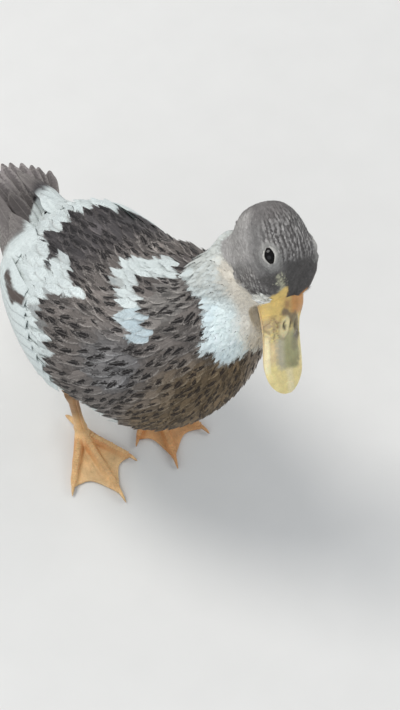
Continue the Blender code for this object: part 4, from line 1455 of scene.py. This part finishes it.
class DUCK_OT_skin(bpy.types.Operator):
    """Makes the skin that all the feathers grow from"""

    bl_idname = "duck.skin"
    bl_label = "Skin"

    def execute(self, context):
        Skin.build(context.scene.duck_plumage.skin_cell)
        WingPlaces.build()
        mesh = Skin.obj.data
        down = plumage(Skin.points, np.random.default_rng(1))[0] * 0.85
        local = to_head(Skin.points)
        bare = fade(local[:, 0] - bill_margin(local), -1.2, 0.0) * fade(head_depth(local), -0.6, -0.4)
        bare = bare * fade(local[:, 2], -10, -7)
        orange = fade(local[:, 1] + 1.5 * rough(local, 4.0), -3.5, 0.5)
        root = layered("#e2c276", ("#bd8347", orange)) * (1 + 0.16 * rough(local, 3.1, 2.0))[:, None]
        colour_attribute(mesh, "tint", down + (root - down) * bare[:, None])
        # Skin with down on it: dull, and it only shows between feathers and at the bill's root.
        mesh.materials.append(tinted_material("feathered_skin", 0.8, 0.2, 1.67))
        nodes = ["torso", "neck", "head", "tail"]
        nodes += [f"{part}_{side}" for part in ("wing", "thigh") for side in ("left", "right")]
        finish_piece(Skin.obj, "mottled_feather", *nodes)
        return {"FINISHED"}


# The small feathers' groups: the shape's rows, columns, barbs and reach, the slot, and how they lie.
COATS = {
    "head": ((4, 3, 4), "grey_feather", {"splay": 0.08, "fray": 0.10, "arch": 0.3, "soft": 0.6}),
    "neck": (
        (6, 5, 22, 2.0), "white_feather",
        {"splay": 0.16, "fray": 0.08, "arch": 0.05, "soft": 0.85, "strands": 60.0},
    ),
    "white": ((7, 5, 18, 1.2), "white_feather", {"splay": 0.10, "soft": 0.8, "strands": 50.0}),
    "front": ((6, 5, 12), "mottled_feather", {"splay": 0.16, "fray": 0.06}),
    "back": ((7, 5, 16), "mottled_feather", {"splay": 0.14, "fray": 0.05}),
}


class DUCK_OT_plumage(bpy.types.Operator):
    """Lays the small feathers over the head, neck, body and thighs"""

    bl_idname = "duck.plumage"
    bl_label = "Plumage"

    def execute(self, context):
        settings = context.scene.duck_plumage
        keratin = feather_material()
        rng = np.random.default_rng(settings.seed)

        def spacing(points):
            return feather_sizes(points)[0] / settings.density

        roots = scatter(spacing, lambda points: ~bare_at(points), settings.seed)
        roots = roots[~bare_at(roots) & ~under_flight(roots)]
        head = on_head(roots) > 0.5
        neck = ~head & (collar_height(roots) > 0)
        white = ~head & ~neck & (whiteness(roots) > 2)
        rest = ~(head | neck | white)
        front = rest & (roots[:, 0] > 40)
        chosen = {"head": head, "neck": neck, "white": white, "front": front, "back": rest & ~front}
        for name, (shape, slot, looks) in COATS.items():
            places = roots[chosen[name]]
            sizes = feather_sizes(places)[1:]
            obj = lay(f"plumage_{name}", places, barbed_vane(*shape), sizes, rng, **looks)
            obj.data.materials.append(keratin)
            finish_piece(obj, slot)
        return {"FINISHED"}


class DUCK_OT_flight(bpy.types.Operator):
    """Makes the long feathers of the folded wings and the tail"""

    bl_idname = "duck.flight"
    bl_label = "Wing and tail feathers"

    def execute(self, context):
        rng = np.random.default_rng(context.scene.duck_plumage.seed + 1)

        def wing_colours(points):
            ground, blotch, edge, _ = plumage(points, rng, 0.25)
            tip = fade(tail_edge(points), -2, 2)
            ground = layered(ground, ("#6d6764", tip))
            blotch = layered(blotch, ("#474240", tip))
            edge = layered(edge, ("#99938d", tip))
            return ground, blotch, edge, np.full(len(points), 0.25)

        made = []
        for name, side in SIDES:
            sheets = flight_sheets(side, rng)
            made.append(solid_vanes(f"wing_feathers_{name}", sheets, 0.25, rng, wing_colours))
        sheets, kinds = tail_sheets(rng)

        def tail_paint(points):
            return tail_colours(points, kinds, rng)

        made.append(solid_vanes("tail_feathers", sheets, 0.35, rng, tail_paint))
        for obj in made:
            obj.data.materials.append(bpy.data.materials["feather_keratin"])
            finish_piece(obj, "tail_feather")
        return {"FINISHED"}


# The nostrils' place on the bill, with their length and width, and how far left the bill's root is set.
NOSTRIL = {"ahead": 38.2, "side": 3.5, "long": 5.4, "wide": 2.9}
BILL_SET = 2.6
BILL_STEPS, BILL_SIDES = 180, 96


def bill_section(row, arch, turn):
    """One point of the bill's section on the head's axes, as in the solids."""
    ahead, top, bottom, half_width = row
    flat, crown = (bottom, top) if arch > 0 else (top, bottom)
    height = math.cos(turn)
    if height > 0:
        rise = flat + (crown - flat) * (0.12 + 0.88 * height**0.8)
    else:
        rise = flat + (crown - flat) * 0.12 * (1 + height)
    return ahead, math.sin(turn) * half_width, rise


def bill_shift(ahead):
    """How far the bill's root is set to the left of the head's middle."""
    return BILL_SET * fade(ahead, 66, 28)


class DUCK_OT_bill(bpy.types.Operator):
    """Makes the bill with its nostrils, nail and edges"""

    bl_idname = "duck.bill"
    bl_label = "Bill"

    def execute(self, context):
        # Horn under a thin soft skin: a low sheen with fine dimples, and a little light through the edges.
        glow = {"Subsurface Weight": 0.12, "Subsurface Scale": 2 * MM}
        horn = tinted_material("bill_skin", 0.36, 0.12, 0.769, glow)
        base = np.array(context.scene.duck_colours.bill)
        turns = [2 * math.pi * k / BILL_SIDES for k in range(BILL_SIDES)]
        for name, table, arch in (("upper", UPPER_BILL_ROWS, 1), ("lower", LOWER_BILL_ROWS, -1)):
            rows = rows_at(table, (len(table) - 1) * np.linspace(0, 1, BILL_STEPS))
            local, faces = closed_loft([[bill_section(row, arch, turn) for turn in turns] for row in rows])
            if arch > 0:
                local = self.carve(local)
            local[:, 1] += bill_shift(local[:, 0])
            obj = mesh_piece(f"bill_{name}_skin", from_head(local), faces)
            set_outward(obj)
            colour_attribute(obj.data, "tint", self.paint(local, base, arch))
            obj.data.materials.append(horn)
            finish_piece(obj, "bill_horn", f"bill_{name}")
        return {"FINISHED"}

    @staticmethod
    def wrinkles(ahead, left):
        """1 in the folds of the skin beside the nostrils, and 0 between them and away from them."""
        flat = np.column_stack((ahead * 0.8, left * 1.3, ahead * 0))
        line = np.abs(rough(flat, 7.5, 1.3))
        where = fade(np.abs(left), 3.8, 6.2) * fade(ahead, 29.5, 32.5) * fade(ahead, 48, 42)
        return fade(line, 0.17, 0.04) * where

    @classmethod
    def carve(cls, local):
        """Raises the nostrils' rims, the nail and the edges, and sinks the nostrils and the folds."""
        out = local.copy()
        ahead, left, above = local.T
        top = above > -15.5
        off = ahead - NOSTRIL["ahead"]
        for side in (1, -1):
            across = left - side * (NOSTRIL["side"] + 0.3)
            gap = np.hypot(off / NOSTRIL["long"], across / NOSTRIL["wide"])
            slit = np.hypot((off + 0.6) / 2.7, (across - 0.18 * off) / 0.8)
            out[:, 2] += top * (0.9 * np.exp(-((gap - 0.75) ** 2) / 0.10) + 0.4 * fade(gap, 1.2, 0.7))
            out[:, 2] -= top * 1.7 * np.exp(-(slit**2.4))
        hollow = np.hypot((ahead - 36) / 8.0, (np.abs(left) - 7.6) / 3.6)
        out[:, 2] -= top * 0.6 * np.exp(-(hollow**3))
        nail = np.hypot((ahead - 71.5) / 4.0, left / 4.0)
        out[:, 2] += np.where(above > -20.2, 0.4 * fade(nail, 1.0, 0.75), 0)
        out[:, 2] -= top * 0.5 * cls.wrinkles(ahead, left)
        # The root's upper corners are square.
        out[:, 1] += np.sign(left) * 1.6 * fade(ahead, 35, 27) * fade(above, -13, -7) * fade(above, 0, -3)
        edge = fade(np.abs(left), 10.4, 12.2) * fade(ahead, 32, 50)
        out[:, 2] += 0.45 * edge * fade(above, -22, -17)
        out[:, 2] += top * 0.12 * rough(local, 5.5)
        return out

    @classmethod
    def paint(cls, local, base, arch):
        """Golden and orange root, dark folds by the nostrils, an olive saddle, a pale tip, and painted
        highlights on the edges.
        """
        ahead, left, _ = local.T
        middle = left - bill_shift(ahead)
        flat = np.column_stack((ahead, left, np.zeros(len(local))))
        wave = rough(flat, 11.0)
        fine = rough(flat, 3.1, 2.0)
        stain = np.exp(-(((ahead - 27) / 3.6) ** 2) - ((left + 0.5 - 0.8 * fine) / 2.6) ** 2)
        folds = fade(left, -2.5, -5.5) * fade(ahead, 30, 34) * fade(ahead, 49, 43)
        saddle = ((ahead - 52) / 10.6) ** 4 + ((left - 2.0 + 0.9 * wave) / 8.8) ** 4
        saddle = fade(saddle + 0.35 * fine + 0.25 * wave, 1.7, 0.2)
        inner = near_path(flat, ((30.5, -2.4, 0), (33.5, 1.5, 0)), 2.6)
        outer = near_path(flat, ((34.6, 4.4, 0), (38.0, 7.4, 0), (43.0, 8.8, 0)), 4.4)
        dark = np.maximum(inner, outer)
        tip = fade(ahead, 59.5, 62.5)
        tint = layered(
            base,
            ("#e4c477", fade(ahead + 1.5 * wave, 40, 31)),
            ("#c48a4c", fade(ahead + 1.2 * wave, 34.5, 31) * fade(left, 0.5, 3.5) * 0.95),
            ("#9d7450", stain * 0.85),
            ("#a38b72", folds * (0.5 + 0.3 * wave)),
            ("#dcc67c", folds * fade(fine, 0.2, 0.7) * 0.7),
            ("#6b5138", cls.wrinkles(ahead, middle) * fade(left, 2, -2) * 0.45),
            ("#d9bd9a", fade(left, -1.5, -5) * fade(ahead, 44, 48) * fade(ahead, 59, 54) * 0.55),
            ("#b0ac99", saddle * 0.8),
            ("#a19d6e", saddle * fade(left + 0.6 * fine, -3.6, 0.9) * 0.85),
            ("#86835c", saddle * fade(ahead, 51, 60) * fade(left, 0.0, 6) * 0.75),
            ("#65574d", fade(dark + 0.25 * fine, -0.1, 0.7) * 0.85),
            ("#77705a", fade(near_path(flat, ((42, 8, 0), (49, 7, 0)), 4.5), 0, 0.6) * 0.5),
            ("#32291f", fade(middle, 11.0, 12.2) * fade(ahead, 29, 31) * fade(ahead, 41, 38)),
            # Painted highlight: a pale line along both edges of the bill.
            ("#efe3b6", fade(np.abs(middle), 10.6, 12.0) * fade(ahead, 38, 44) * 0.75),
            ("#e7d596", tip * 0.9),
            ("#e6dcb6", tip * fade(np.abs(left - 1.5 + wave), 3.5, 1.0) * 0.6),
            ("#bfa566", tip * fade(fine, 0.45, 0.9) * 0.35),
        )
        if arch > 0:
            across = np.abs(middle) - NOSTRIL["side"]
            off = ahead - NOSTRIL["ahead"]
            rim = np.hypot(off / NOSTRIL["long"], across / NOSTRIL["wide"])
            slit = np.hypot((off + 0.6) / 2.5, (across * np.sign(middle) - 0.18 * off) / 0.5)
            tint = layered(
                tint,
                ("#8d7650", fade(np.abs(rim - 1.2), 0.25, 0.05) * np.where(left > 2, 0.0, 0.35)),
                ("#dfd1a0", fade(rim + 0.12 * fine, 1.2, 0.8) * np.where(left > 2, 0.12, 0.9)),
                ("#3a2c20", fade(slit, 1.25, 0.6) * 0.9),
            )
        else:
            tint = layered(tint, ("#d6bd92", 0.6))
        return tint * (1 + 0.07 * fine + 0.05 * wave)[:, None]


# The lid's section: degrees beyond the opening's edge and height over the ball, round its closed rim.
LID_SECTION = (
    (-1, -0.4), (0, 0.2), (3, 0.5), (7, 0.62), (12, 0.6),
    (19, 0.4), (30, -0.1), (38, -0.8), (20, -1.3), (4, -1.2),
)


class DUCK_OT_eyes(bpy.types.Operator):
    """Makes the eyes and the pale lids round them"""

    bl_idname = "duck.eyes"
    bl_label = "Eyes"

    def execute(self, context):
        # A wet eyeball: near black, with a sharp bright gleam.
        wet, tree = new_material("wet_eye")
        tint = add(tree, "ShaderNodeAttribute", attribute_name="tint")
        surface(tree, tint, 0.06, more={"Specular IOR Level": 0.2})
        # Bare lid skin: dull, with small warts.
        lid_skin = tinted_material("eyelid_skin", 0.7, 0.3, 0.667)
        for name, side in SIDES:
            self.ball(name, side, wet)
            self.lid(name, side, lid_skin, np.array(context.scene.duck_colours.lid))
        return {"FINISHED"}

    @staticmethod
    def ball(name, side, wet):
        """The eyeball, its poles ahead of the pupil and behind it."""
        facing, _, ahead = eye_axes(side)
        centre, radius = eye_centre(side), EYE["radius"]
        local, faces = ball_rings(centre, radius, 40, 48, facing, ahead)
        obj = mesh_piece(f"eyeball_{name}", from_head(local), faces)
        set_outward(obj)
        off = np.degrees(np.arccos(np.clip(((local - centre) @ facing) / radius, -1, 1)))
        iris = fade(off, 40, 44) * fade(off, 66, 60)
        colour_attribute(obj.data, "tint", layered("#0b0908", ("#1a120e", iris)))
        obj.data.materials.append(wet)
        finish_piece(obj, "eye", f"eye_{name}")

    @classmethod
    def lid(cls, name, side, lid_skin, base):
        """The lids, as one closed rim."""
        places, faces = closed_loft(cls.lid_rings(side))
        # The first ring and the last are one, so the rim needs no ends.
        obj = mesh_piece(f"eyelid_{name}", from_head(places), faces[2:])
        work = bmesh.new()
        work.from_mesh(obj.data)
        bmesh.ops.remove_doubles(work, verts=work.verts, dist=1e-6)
        work.to_mesh(obj.data)
        work.free()
        set_outward(obj)
        places = to_head(mesh_arrays(obj.data)[0])
        _, rise, ahead = eye_axes(side)
        out = places - eye_centre(side)
        turn = np.arctan2(out @ rise, out @ ahead)
        beyond = np.hypot(out @ rise, out @ ahead) / EYE["radius"] - eye_opening(turn)
        tint = layered(base, ("#9c9994", fade(beyond, 0.10, 0.2))) * (1 + 0.16 * rough(places, 1.9))[:, None]
        colour_attribute(obj.data, "tint", tint)
        obj.data.materials.append(lid_skin)
        finish_piece(obj, "grey_feather")

    @staticmethod
    def lid_rings(side):
        """Rings of the lids' rim: an almond opening over the ball, pointed before and behind."""
        facing, rise, ahead = eye_axes(side)
        rings = []
        for turn in np.linspace(0, 2 * math.pi, 81):
            opening = math.asin(min(float(eye_opening(turn)), 1.0))
            out = ahead * math.cos(turn) + rise * math.sin(turn)
            crease = 1 + 0.05 * math.sin(turn * 17) + 0.04 * math.sin(turn * 29 + 1)
            polars = [opening + math.radians(more) for more, _ in LID_SECTION]
            ways = [facing * math.cos(polar) + out * math.sin(polar) for polar in polars]
            lifts = [EYE["radius"] + lift * crease for _, lift in LID_SECTION]
            rings.append([eye_centre(side) + way * lift for way, lift in zip(ways, lifts)])
        return np.array(rings)


# Each foot's heel and ankle, and the degrees that it points out; and its toes' swing and length.
FEET = {
    "right": {"heel": (-1, -28), "points": 6, "ankle": (-2, -32, 50)},
    "left": {"heel": (1, 28), "points": 20, "ankle": (-2, 31, 50)},
}
TOES = ((-30, 37), (0, 53), (34, 42))
# The voxel that joins shank and foot, and the scutes' spacing and half sizes, in metres.
LEG_CELL = 0.62 * MM
SCUTE_SIZES = {"Spacing": 1.7 * MM, "Long": 1.15 * MM, "Wide": 2.1 * MM, "Thick": 0.42 * MM}
# A claw's stations: the share of the toe's length, the height and the radius.
CLAW = (
    (0.95, 2.7, 1.25), (1.0, 3.1, 1.3), (1.05, 2.9, 1.1),
    (1.09, 2.2, 0.8), (1.12, 1.4, 0.5), (1.14, 0.6, 0.18),
)


def toe_place(leg, side, length, swing, up):
    """A place at this length along a toe."""
    turn = math.radians(leg["points"] - swing * side)
    return np.array((leg["heel"][0] + math.cos(turn) * length, leg["heel"][1] - math.sin(turn) * length, up))


class DUCK_OT_legs(bpy.types.Operator):
    """Makes the scaled shanks, the webbed feet and the claws"""

    bl_idname = "duck.legs"
    bl_label = "Legs and feet"

    def execute(self, context):
        base = np.array(context.scene.duck_colours.leg)
        skin = scaled_skin_material()
        # Claw horn: smooth and hard, with a dull gleam.
        horn = tinted_material("claw_horn", 0.4, 0.1, 0.556)
        for name, side in SIDES:
            leg = FEET[name]
            solids = [node_solid(f"{part}_{name}") for part in ("shank", "foot")]
            obj = remeshed(*joined(solids), LEG_CELL, f"leg_skin_{name}")
            relax(obj.data, 3, 0.45)
            points, tint = self.detail(*mesh_arrays(obj.data), leg, side, base)
            points[:, 2] = np.maximum(points[:, 2], 0.0)
            obj.data.vertices.foreach_set("co", to_model(points).ravel())
            obj.data.update()
            obj.data.shade_smooth()
            colour_attribute(obj.data, "tint", tint)
            obj.data.materials.append(skin)
            finish_piece(obj, "leg_skin", f"shank_{name}", f"foot_{name}")
            self.claws(name, leg, side, horn)
            self.scutes(name, leg, side, obj, skin, base)
        return {"FINISHED"}

    @staticmethod
    def claws(name, leg, side, horn):
        """A bent claw at each toe's end."""
        turns = np.linspace(0, 2 * math.pi, 14, endpoint=False)
        solids = []
        for swing, length in TOES:
            places = [toe_place(leg, side, length * share, swing, up) for share, up, _ in CLAW]
            out = np.cross(unit(places[-1] - places[0]), (0, 0, 1.0))
            round_it = np.cos(turns)[:, None] * out + np.sin(turns)[:, None] * (0, 0, 1)
            rings = [place + round_it * radius for place, (_, _, radius) in zip(places, CLAW)]
            points, faces = closed_loft(rings)
            points[:, 2] = np.maximum(points[:, 2], 0.05)
            solids.append((points, faces))
        obj = mesh_piece(f"claws_{name}", *joined(solids))
        set_outward(obj)
        colour_attribute(obj.data, "tint", np.tile(hex_linear("#8a735a"), (len(obj.data.vertices), 1)))
        obj.data.materials.append(horn)
        finish_piece(obj, "leg_skin")

    @staticmethod
    def scutes(name, leg, side, leg_skin, skin, base):
        """Overlapping plates down the shank's front and along each toe, by Geometry Nodes."""
        polygons = [tuple(p.vertices) for p in leg_skin.data.polygons]
        body = BVHTree.FromPolygons(mesh_arrays(leg_skin.data)[0].tolist(), polygons)
        ankle, heel = np.array(leg["ankle"], float), np.array((*leg["heel"], 13.0))
        paths = []
        for swing, length in TOES:
            places = [toe_place(leg, side, k, swing, 20.0) for k in np.linspace(9, length * 0.95, 30)]
            paths.append([body.ray_cast(p, (0, 0, -1))[0] for p in places])
        places = [heel + (ankle - heel) * k + (20, 0, 0) for k in np.linspace(0.0, 0.9, 24)]
        paths.append([body.ray_cast(p, (-1, 0, 0))[0] for p in places])
        points, edges = [], []
        for path in paths:
            path = [p for p in path if p is not None]
            edges += [(len(points) + i, len(points) + i + 1) for i in range(len(path) - 1)]
            points += path
        mesh = bpy.data.meshes.new(f"scutes_{name}")
        mesh.from_pydata(to_model(np.array(points)).tolist(), edges, [])
        plates = bpy.data.objects.new(f"scutes_{name}", mesh)
        bpy.context.scene.collection.objects.link(plates)
        modifier = plates.modifiers.new("scutes", "NODES")
        modifier.node_group = scute_tree(skin)
        for item in modifier.node_group.interface.items_tree:
            if item.name in SCUTE_SIZES:
                modifier[item.identifier] = SCUTE_SIZES[item.name]
        places = mesh_arrays(applied(plates))[0]
        # Painted shade: the plates turn brown up the shank, towards the shade under the body.
        painted_shank_shade = fade(places[:, 2], 14, 32) * 0.85
        # Painted shade: the left leg's plates, under the body, get a deeper orange than the right's.
        tint = layered(base, ("#bd7a42", 0.6 if side > 0 else 0.15), ("#a07a55", painted_shank_shade))
        colour_attribute(plates.data, "tint", tint * (1 + 0.12 * rough(places, 3.0))[:, None])
        finish_piece(plates, "leg_skin")

    @staticmethod
    def detail(points, normals, leg, side, base):
        """Cross plates on the toes and shank, folds in the web, and the leg's colours with their painted
        shade.
        """
        toe = np.zeros(len(points))
        for swing, length in TOES:
            a, b = toe_place(leg, side, 4, swing, 3.5), toe_place(leg, side, length, swing, 2.2)
            along = ((points - a) @ (b - a)) / ((b - a) @ (b - a))
            near = fade(segment_gap(points, a, b), 4.4, 3.2) * (along > -0.1) * (along < 1.05)
            ridge = np.abs(np.sin(math.pi * along * length / 2.4)) ** 0.5
            points = points + normals * (near * fade(normals[:, 2], 0.1, 0.6) * 0.22 * (ridge - 0.6))[:, None]
            toe = np.maximum(toe, near)
        shank = fade(points[:, 2], 10, 13) * fade(points[:, 2], 52, 48)
        ridge = np.abs(np.sin(math.pi * points[:, 2] / 2.6)) ** 0.5
        points = points + normals * (shank * fade(normals[:, 0], 0.0, 0.5) * 0.25 * (ridge - 0.6))[:, None]
        web = (1 - toe) * fade(points[:, 2], 4.0, 2.6)
        out = points[:, :2] - leg["heel"]
        reach = np.linalg.norm(out, axis=1)
        turn = np.arctan2(out[:, 1], out[:, 0])
        fold = np.sin(turn * 58 + 2.0 * np.sin(reach / 9)) * 0.5 + np.sin(reach / 1.9 + 3 * turn) * 0.5
        points = points + normals * (web * fade(normals[:, 2], 0.2, 0.7) * 0.16 * fold)[:, None]
        tint = layered(
            base,
            ("#e2bd8a", web * fade(reach, 16, 34) * 0.8),
            ("#c77b38", toe * fade(reach, 40, 8) * 0.55),
            ("#c27c3e", toe * fade(turn * side, -0.25, -0.5) * 0.6),
            # Painted shade: the left foot, under the body, is a deeper orange.
            ("#bd7a42", 0.6 if side > 0 else 0.0),
            # Painted shade: brown up the shank, towards the shade under the body.
            ("#94704f", fade(points[:, 2], 16, 34) * 0.85),
            ("#b98a5a", np.clip(rough(points, 7) - 0.2, 0, 1) * 0.4),
        )
        return points, tint


# The stage's lamps: name, place in metres, size, watts and colour.
LAMPS = (
    ("key", (-0.5, 0.9, 2.0), 1.1, 26.0, (1.0, 0.98, 0.95)),
    ("fill", (-1.6, -1.0, 1.2), 1.6, 9.0, (0.92, 0.96, 1.0)),
    ("side", (1.5, -0.6, 1.3), 1.2, 7.0, (1.0, 0.97, 0.93)),
)
# The floor point that the camera looks at, in bird millimetres, and the lens's length in picture
# heights.
LOOK_AT = (-8.8, 73.5, 0)
LENS = 1780 / 710


class DUCK_OT_stage(bpy.types.Operator):
    """Makes the floor, the light and the camera"""

    bl_idname = "duck.stage"
    bl_label = "Stage"

    def execute(self, context):
        self.floor()
        self.light(context.scene)
        settings = context.scene.duck_stage
        target = Vector(to_model(LOOK_AT)[0])
        flat = math.cos(settings.elevation)
        back = Vector((math.sin(settings.azimuth) * flat, -math.cos(settings.azimuth) * flat, 0))
        back.z = math.sin(settings.elevation)
        camera = bpy.data.cameras.new("camera")
        camera.sensor_fit = "VERTICAL"
        camera.sensor_height = 24
        camera.lens = 24 * LENS
        camera.clip_start = 0.01
        context.scene.camera = self.placed(camera, target + back * settings.distance, -back)
        context.scene.view_settings.view_transform = "Standard"
        return {"FINISHED"}

    @staticmethod
    def placed(data, place, way):
        """An object for a lamp or a camera, at its place and looking along a direction."""
        made = bpy.data.objects.new(data.name, data)
        made.location = place
        made.rotation_euler = way.to_track_quat("-Z", "Y").to_euler()
        bpy.context.scene.collection.objects.link(made)
        return made

    @staticmethod
    def floor():
        # Matt floor paint, rolled: no gleam, and faint cloudy marks about 30 mm across.
        paint, tree = new_material("matt_floor_paint")
        where = add(tree, "ShaderNodeTexCoord").outputs["Object"]
        noise = add(tree, "ShaderNodeTexNoise", where, inputs={"Scale": 1 / (33.3 * MM), "Detail": 5.0})
        ramp = add(tree, "ShaderNodeValToRGB", noise)
        for element, colour in zip(ramp.color_ramp.elements, ("#d8d6d2", "#dedcd8")):
            element.color = (*hex_linear(colour), 1)
        surface(tree, ramp, 0.85)
        mesh = bpy.data.meshes.new("floor")
        work = bmesh.new()
        bmesh.ops.create_grid(work, x_segments=2, y_segments=2, size=6.0)
        work.to_mesh(mesh)
        work.free()
        mesh.materials.append(paint)
        floor = bpy.data.objects.new("floor", mesh)
        bpy.context.scene.collection.objects.link(floor)
        floor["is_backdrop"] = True

    @classmethod
    def light(cls, scene):
        scene.world = bpy.data.worlds.new("studio")
        scene.world.use_nodes = True
        sky = scene.world.node_tree.nodes["Background"]
        sky.inputs["Color"].default_value = (0.86, 0.92, 1.0, 1)
        sky.inputs["Strength"].default_value = 0.62
        for name, place, size, power, tone in LAMPS:
            lamp = bpy.data.lights.new(name, "AREA")
            lamp.shape = "DISK"
            lamp.size = size
            lamp.energy = power
            lamp.color = tone
            cls.placed(lamp, place, Vector((0, 0, 0.1)) - Vector(place))


class DUCK_PT_panel(bpy.types.Panel):
    """The duck's settings and the buttons that make its pieces"""

    bl_idname = "DUCK_PT_panel"
    bl_label = "Silver appleyard duck"
    bl_space_type = "VIEW_3D"
    bl_region_type = "UI"
    bl_category = "Duck"

    def draw(self, context):
        for key in GROUPS:
            group = getattr(context.scene, key)
            for name in group.__annotations__:
                self.layout.prop(group, name)
        for operator in OPERATORS:
            self.layout.operator(operator.bl_idname)


GROUPS = {"duck_plumage": DuckPlumage, "duck_colours": DuckColours, "duck_stage": DuckStageSettings}
OPERATORS = (
    DUCK_OT_skin, DUCK_OT_plumage, DUCK_OT_flight, DUCK_OT_bill, DUCK_OT_eyes, DUCK_OT_legs, DUCK_OT_stage
)


def register():
    for made in (*GROUPS.values(), *OPERATORS, DUCK_PT_panel):
        bpy.utils.register_class(made)
    for name, group in GROUPS.items():
        setattr(bpy.types.Scene, name, bpy.props.PointerProperty(type=group))


def unregister():
    for name in GROUPS:
        delattr(bpy.types.Scene, name)
    for made in (DUCK_PT_panel, *OPERATORS, *GROUPS.values()):
        bpy.utils.unregister_class(made)


def main():
    register()
    bpy.ops.duck.skin()
    bpy.ops.duck.plumage()
    bpy.ops.duck.flight()
    bpy.ops.duck.bill()
    bpy.ops.duck.eyes()
    bpy.ops.duck.legs()
    bpy.ops.duck.stage()
    boxes = {"cad": CAD_BOX, "visual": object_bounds()}
    boxes = {name: [list(map(float, corner)) for corner in box] for name, box in boxes.items()}


if __name__ == "__main__":
    main()
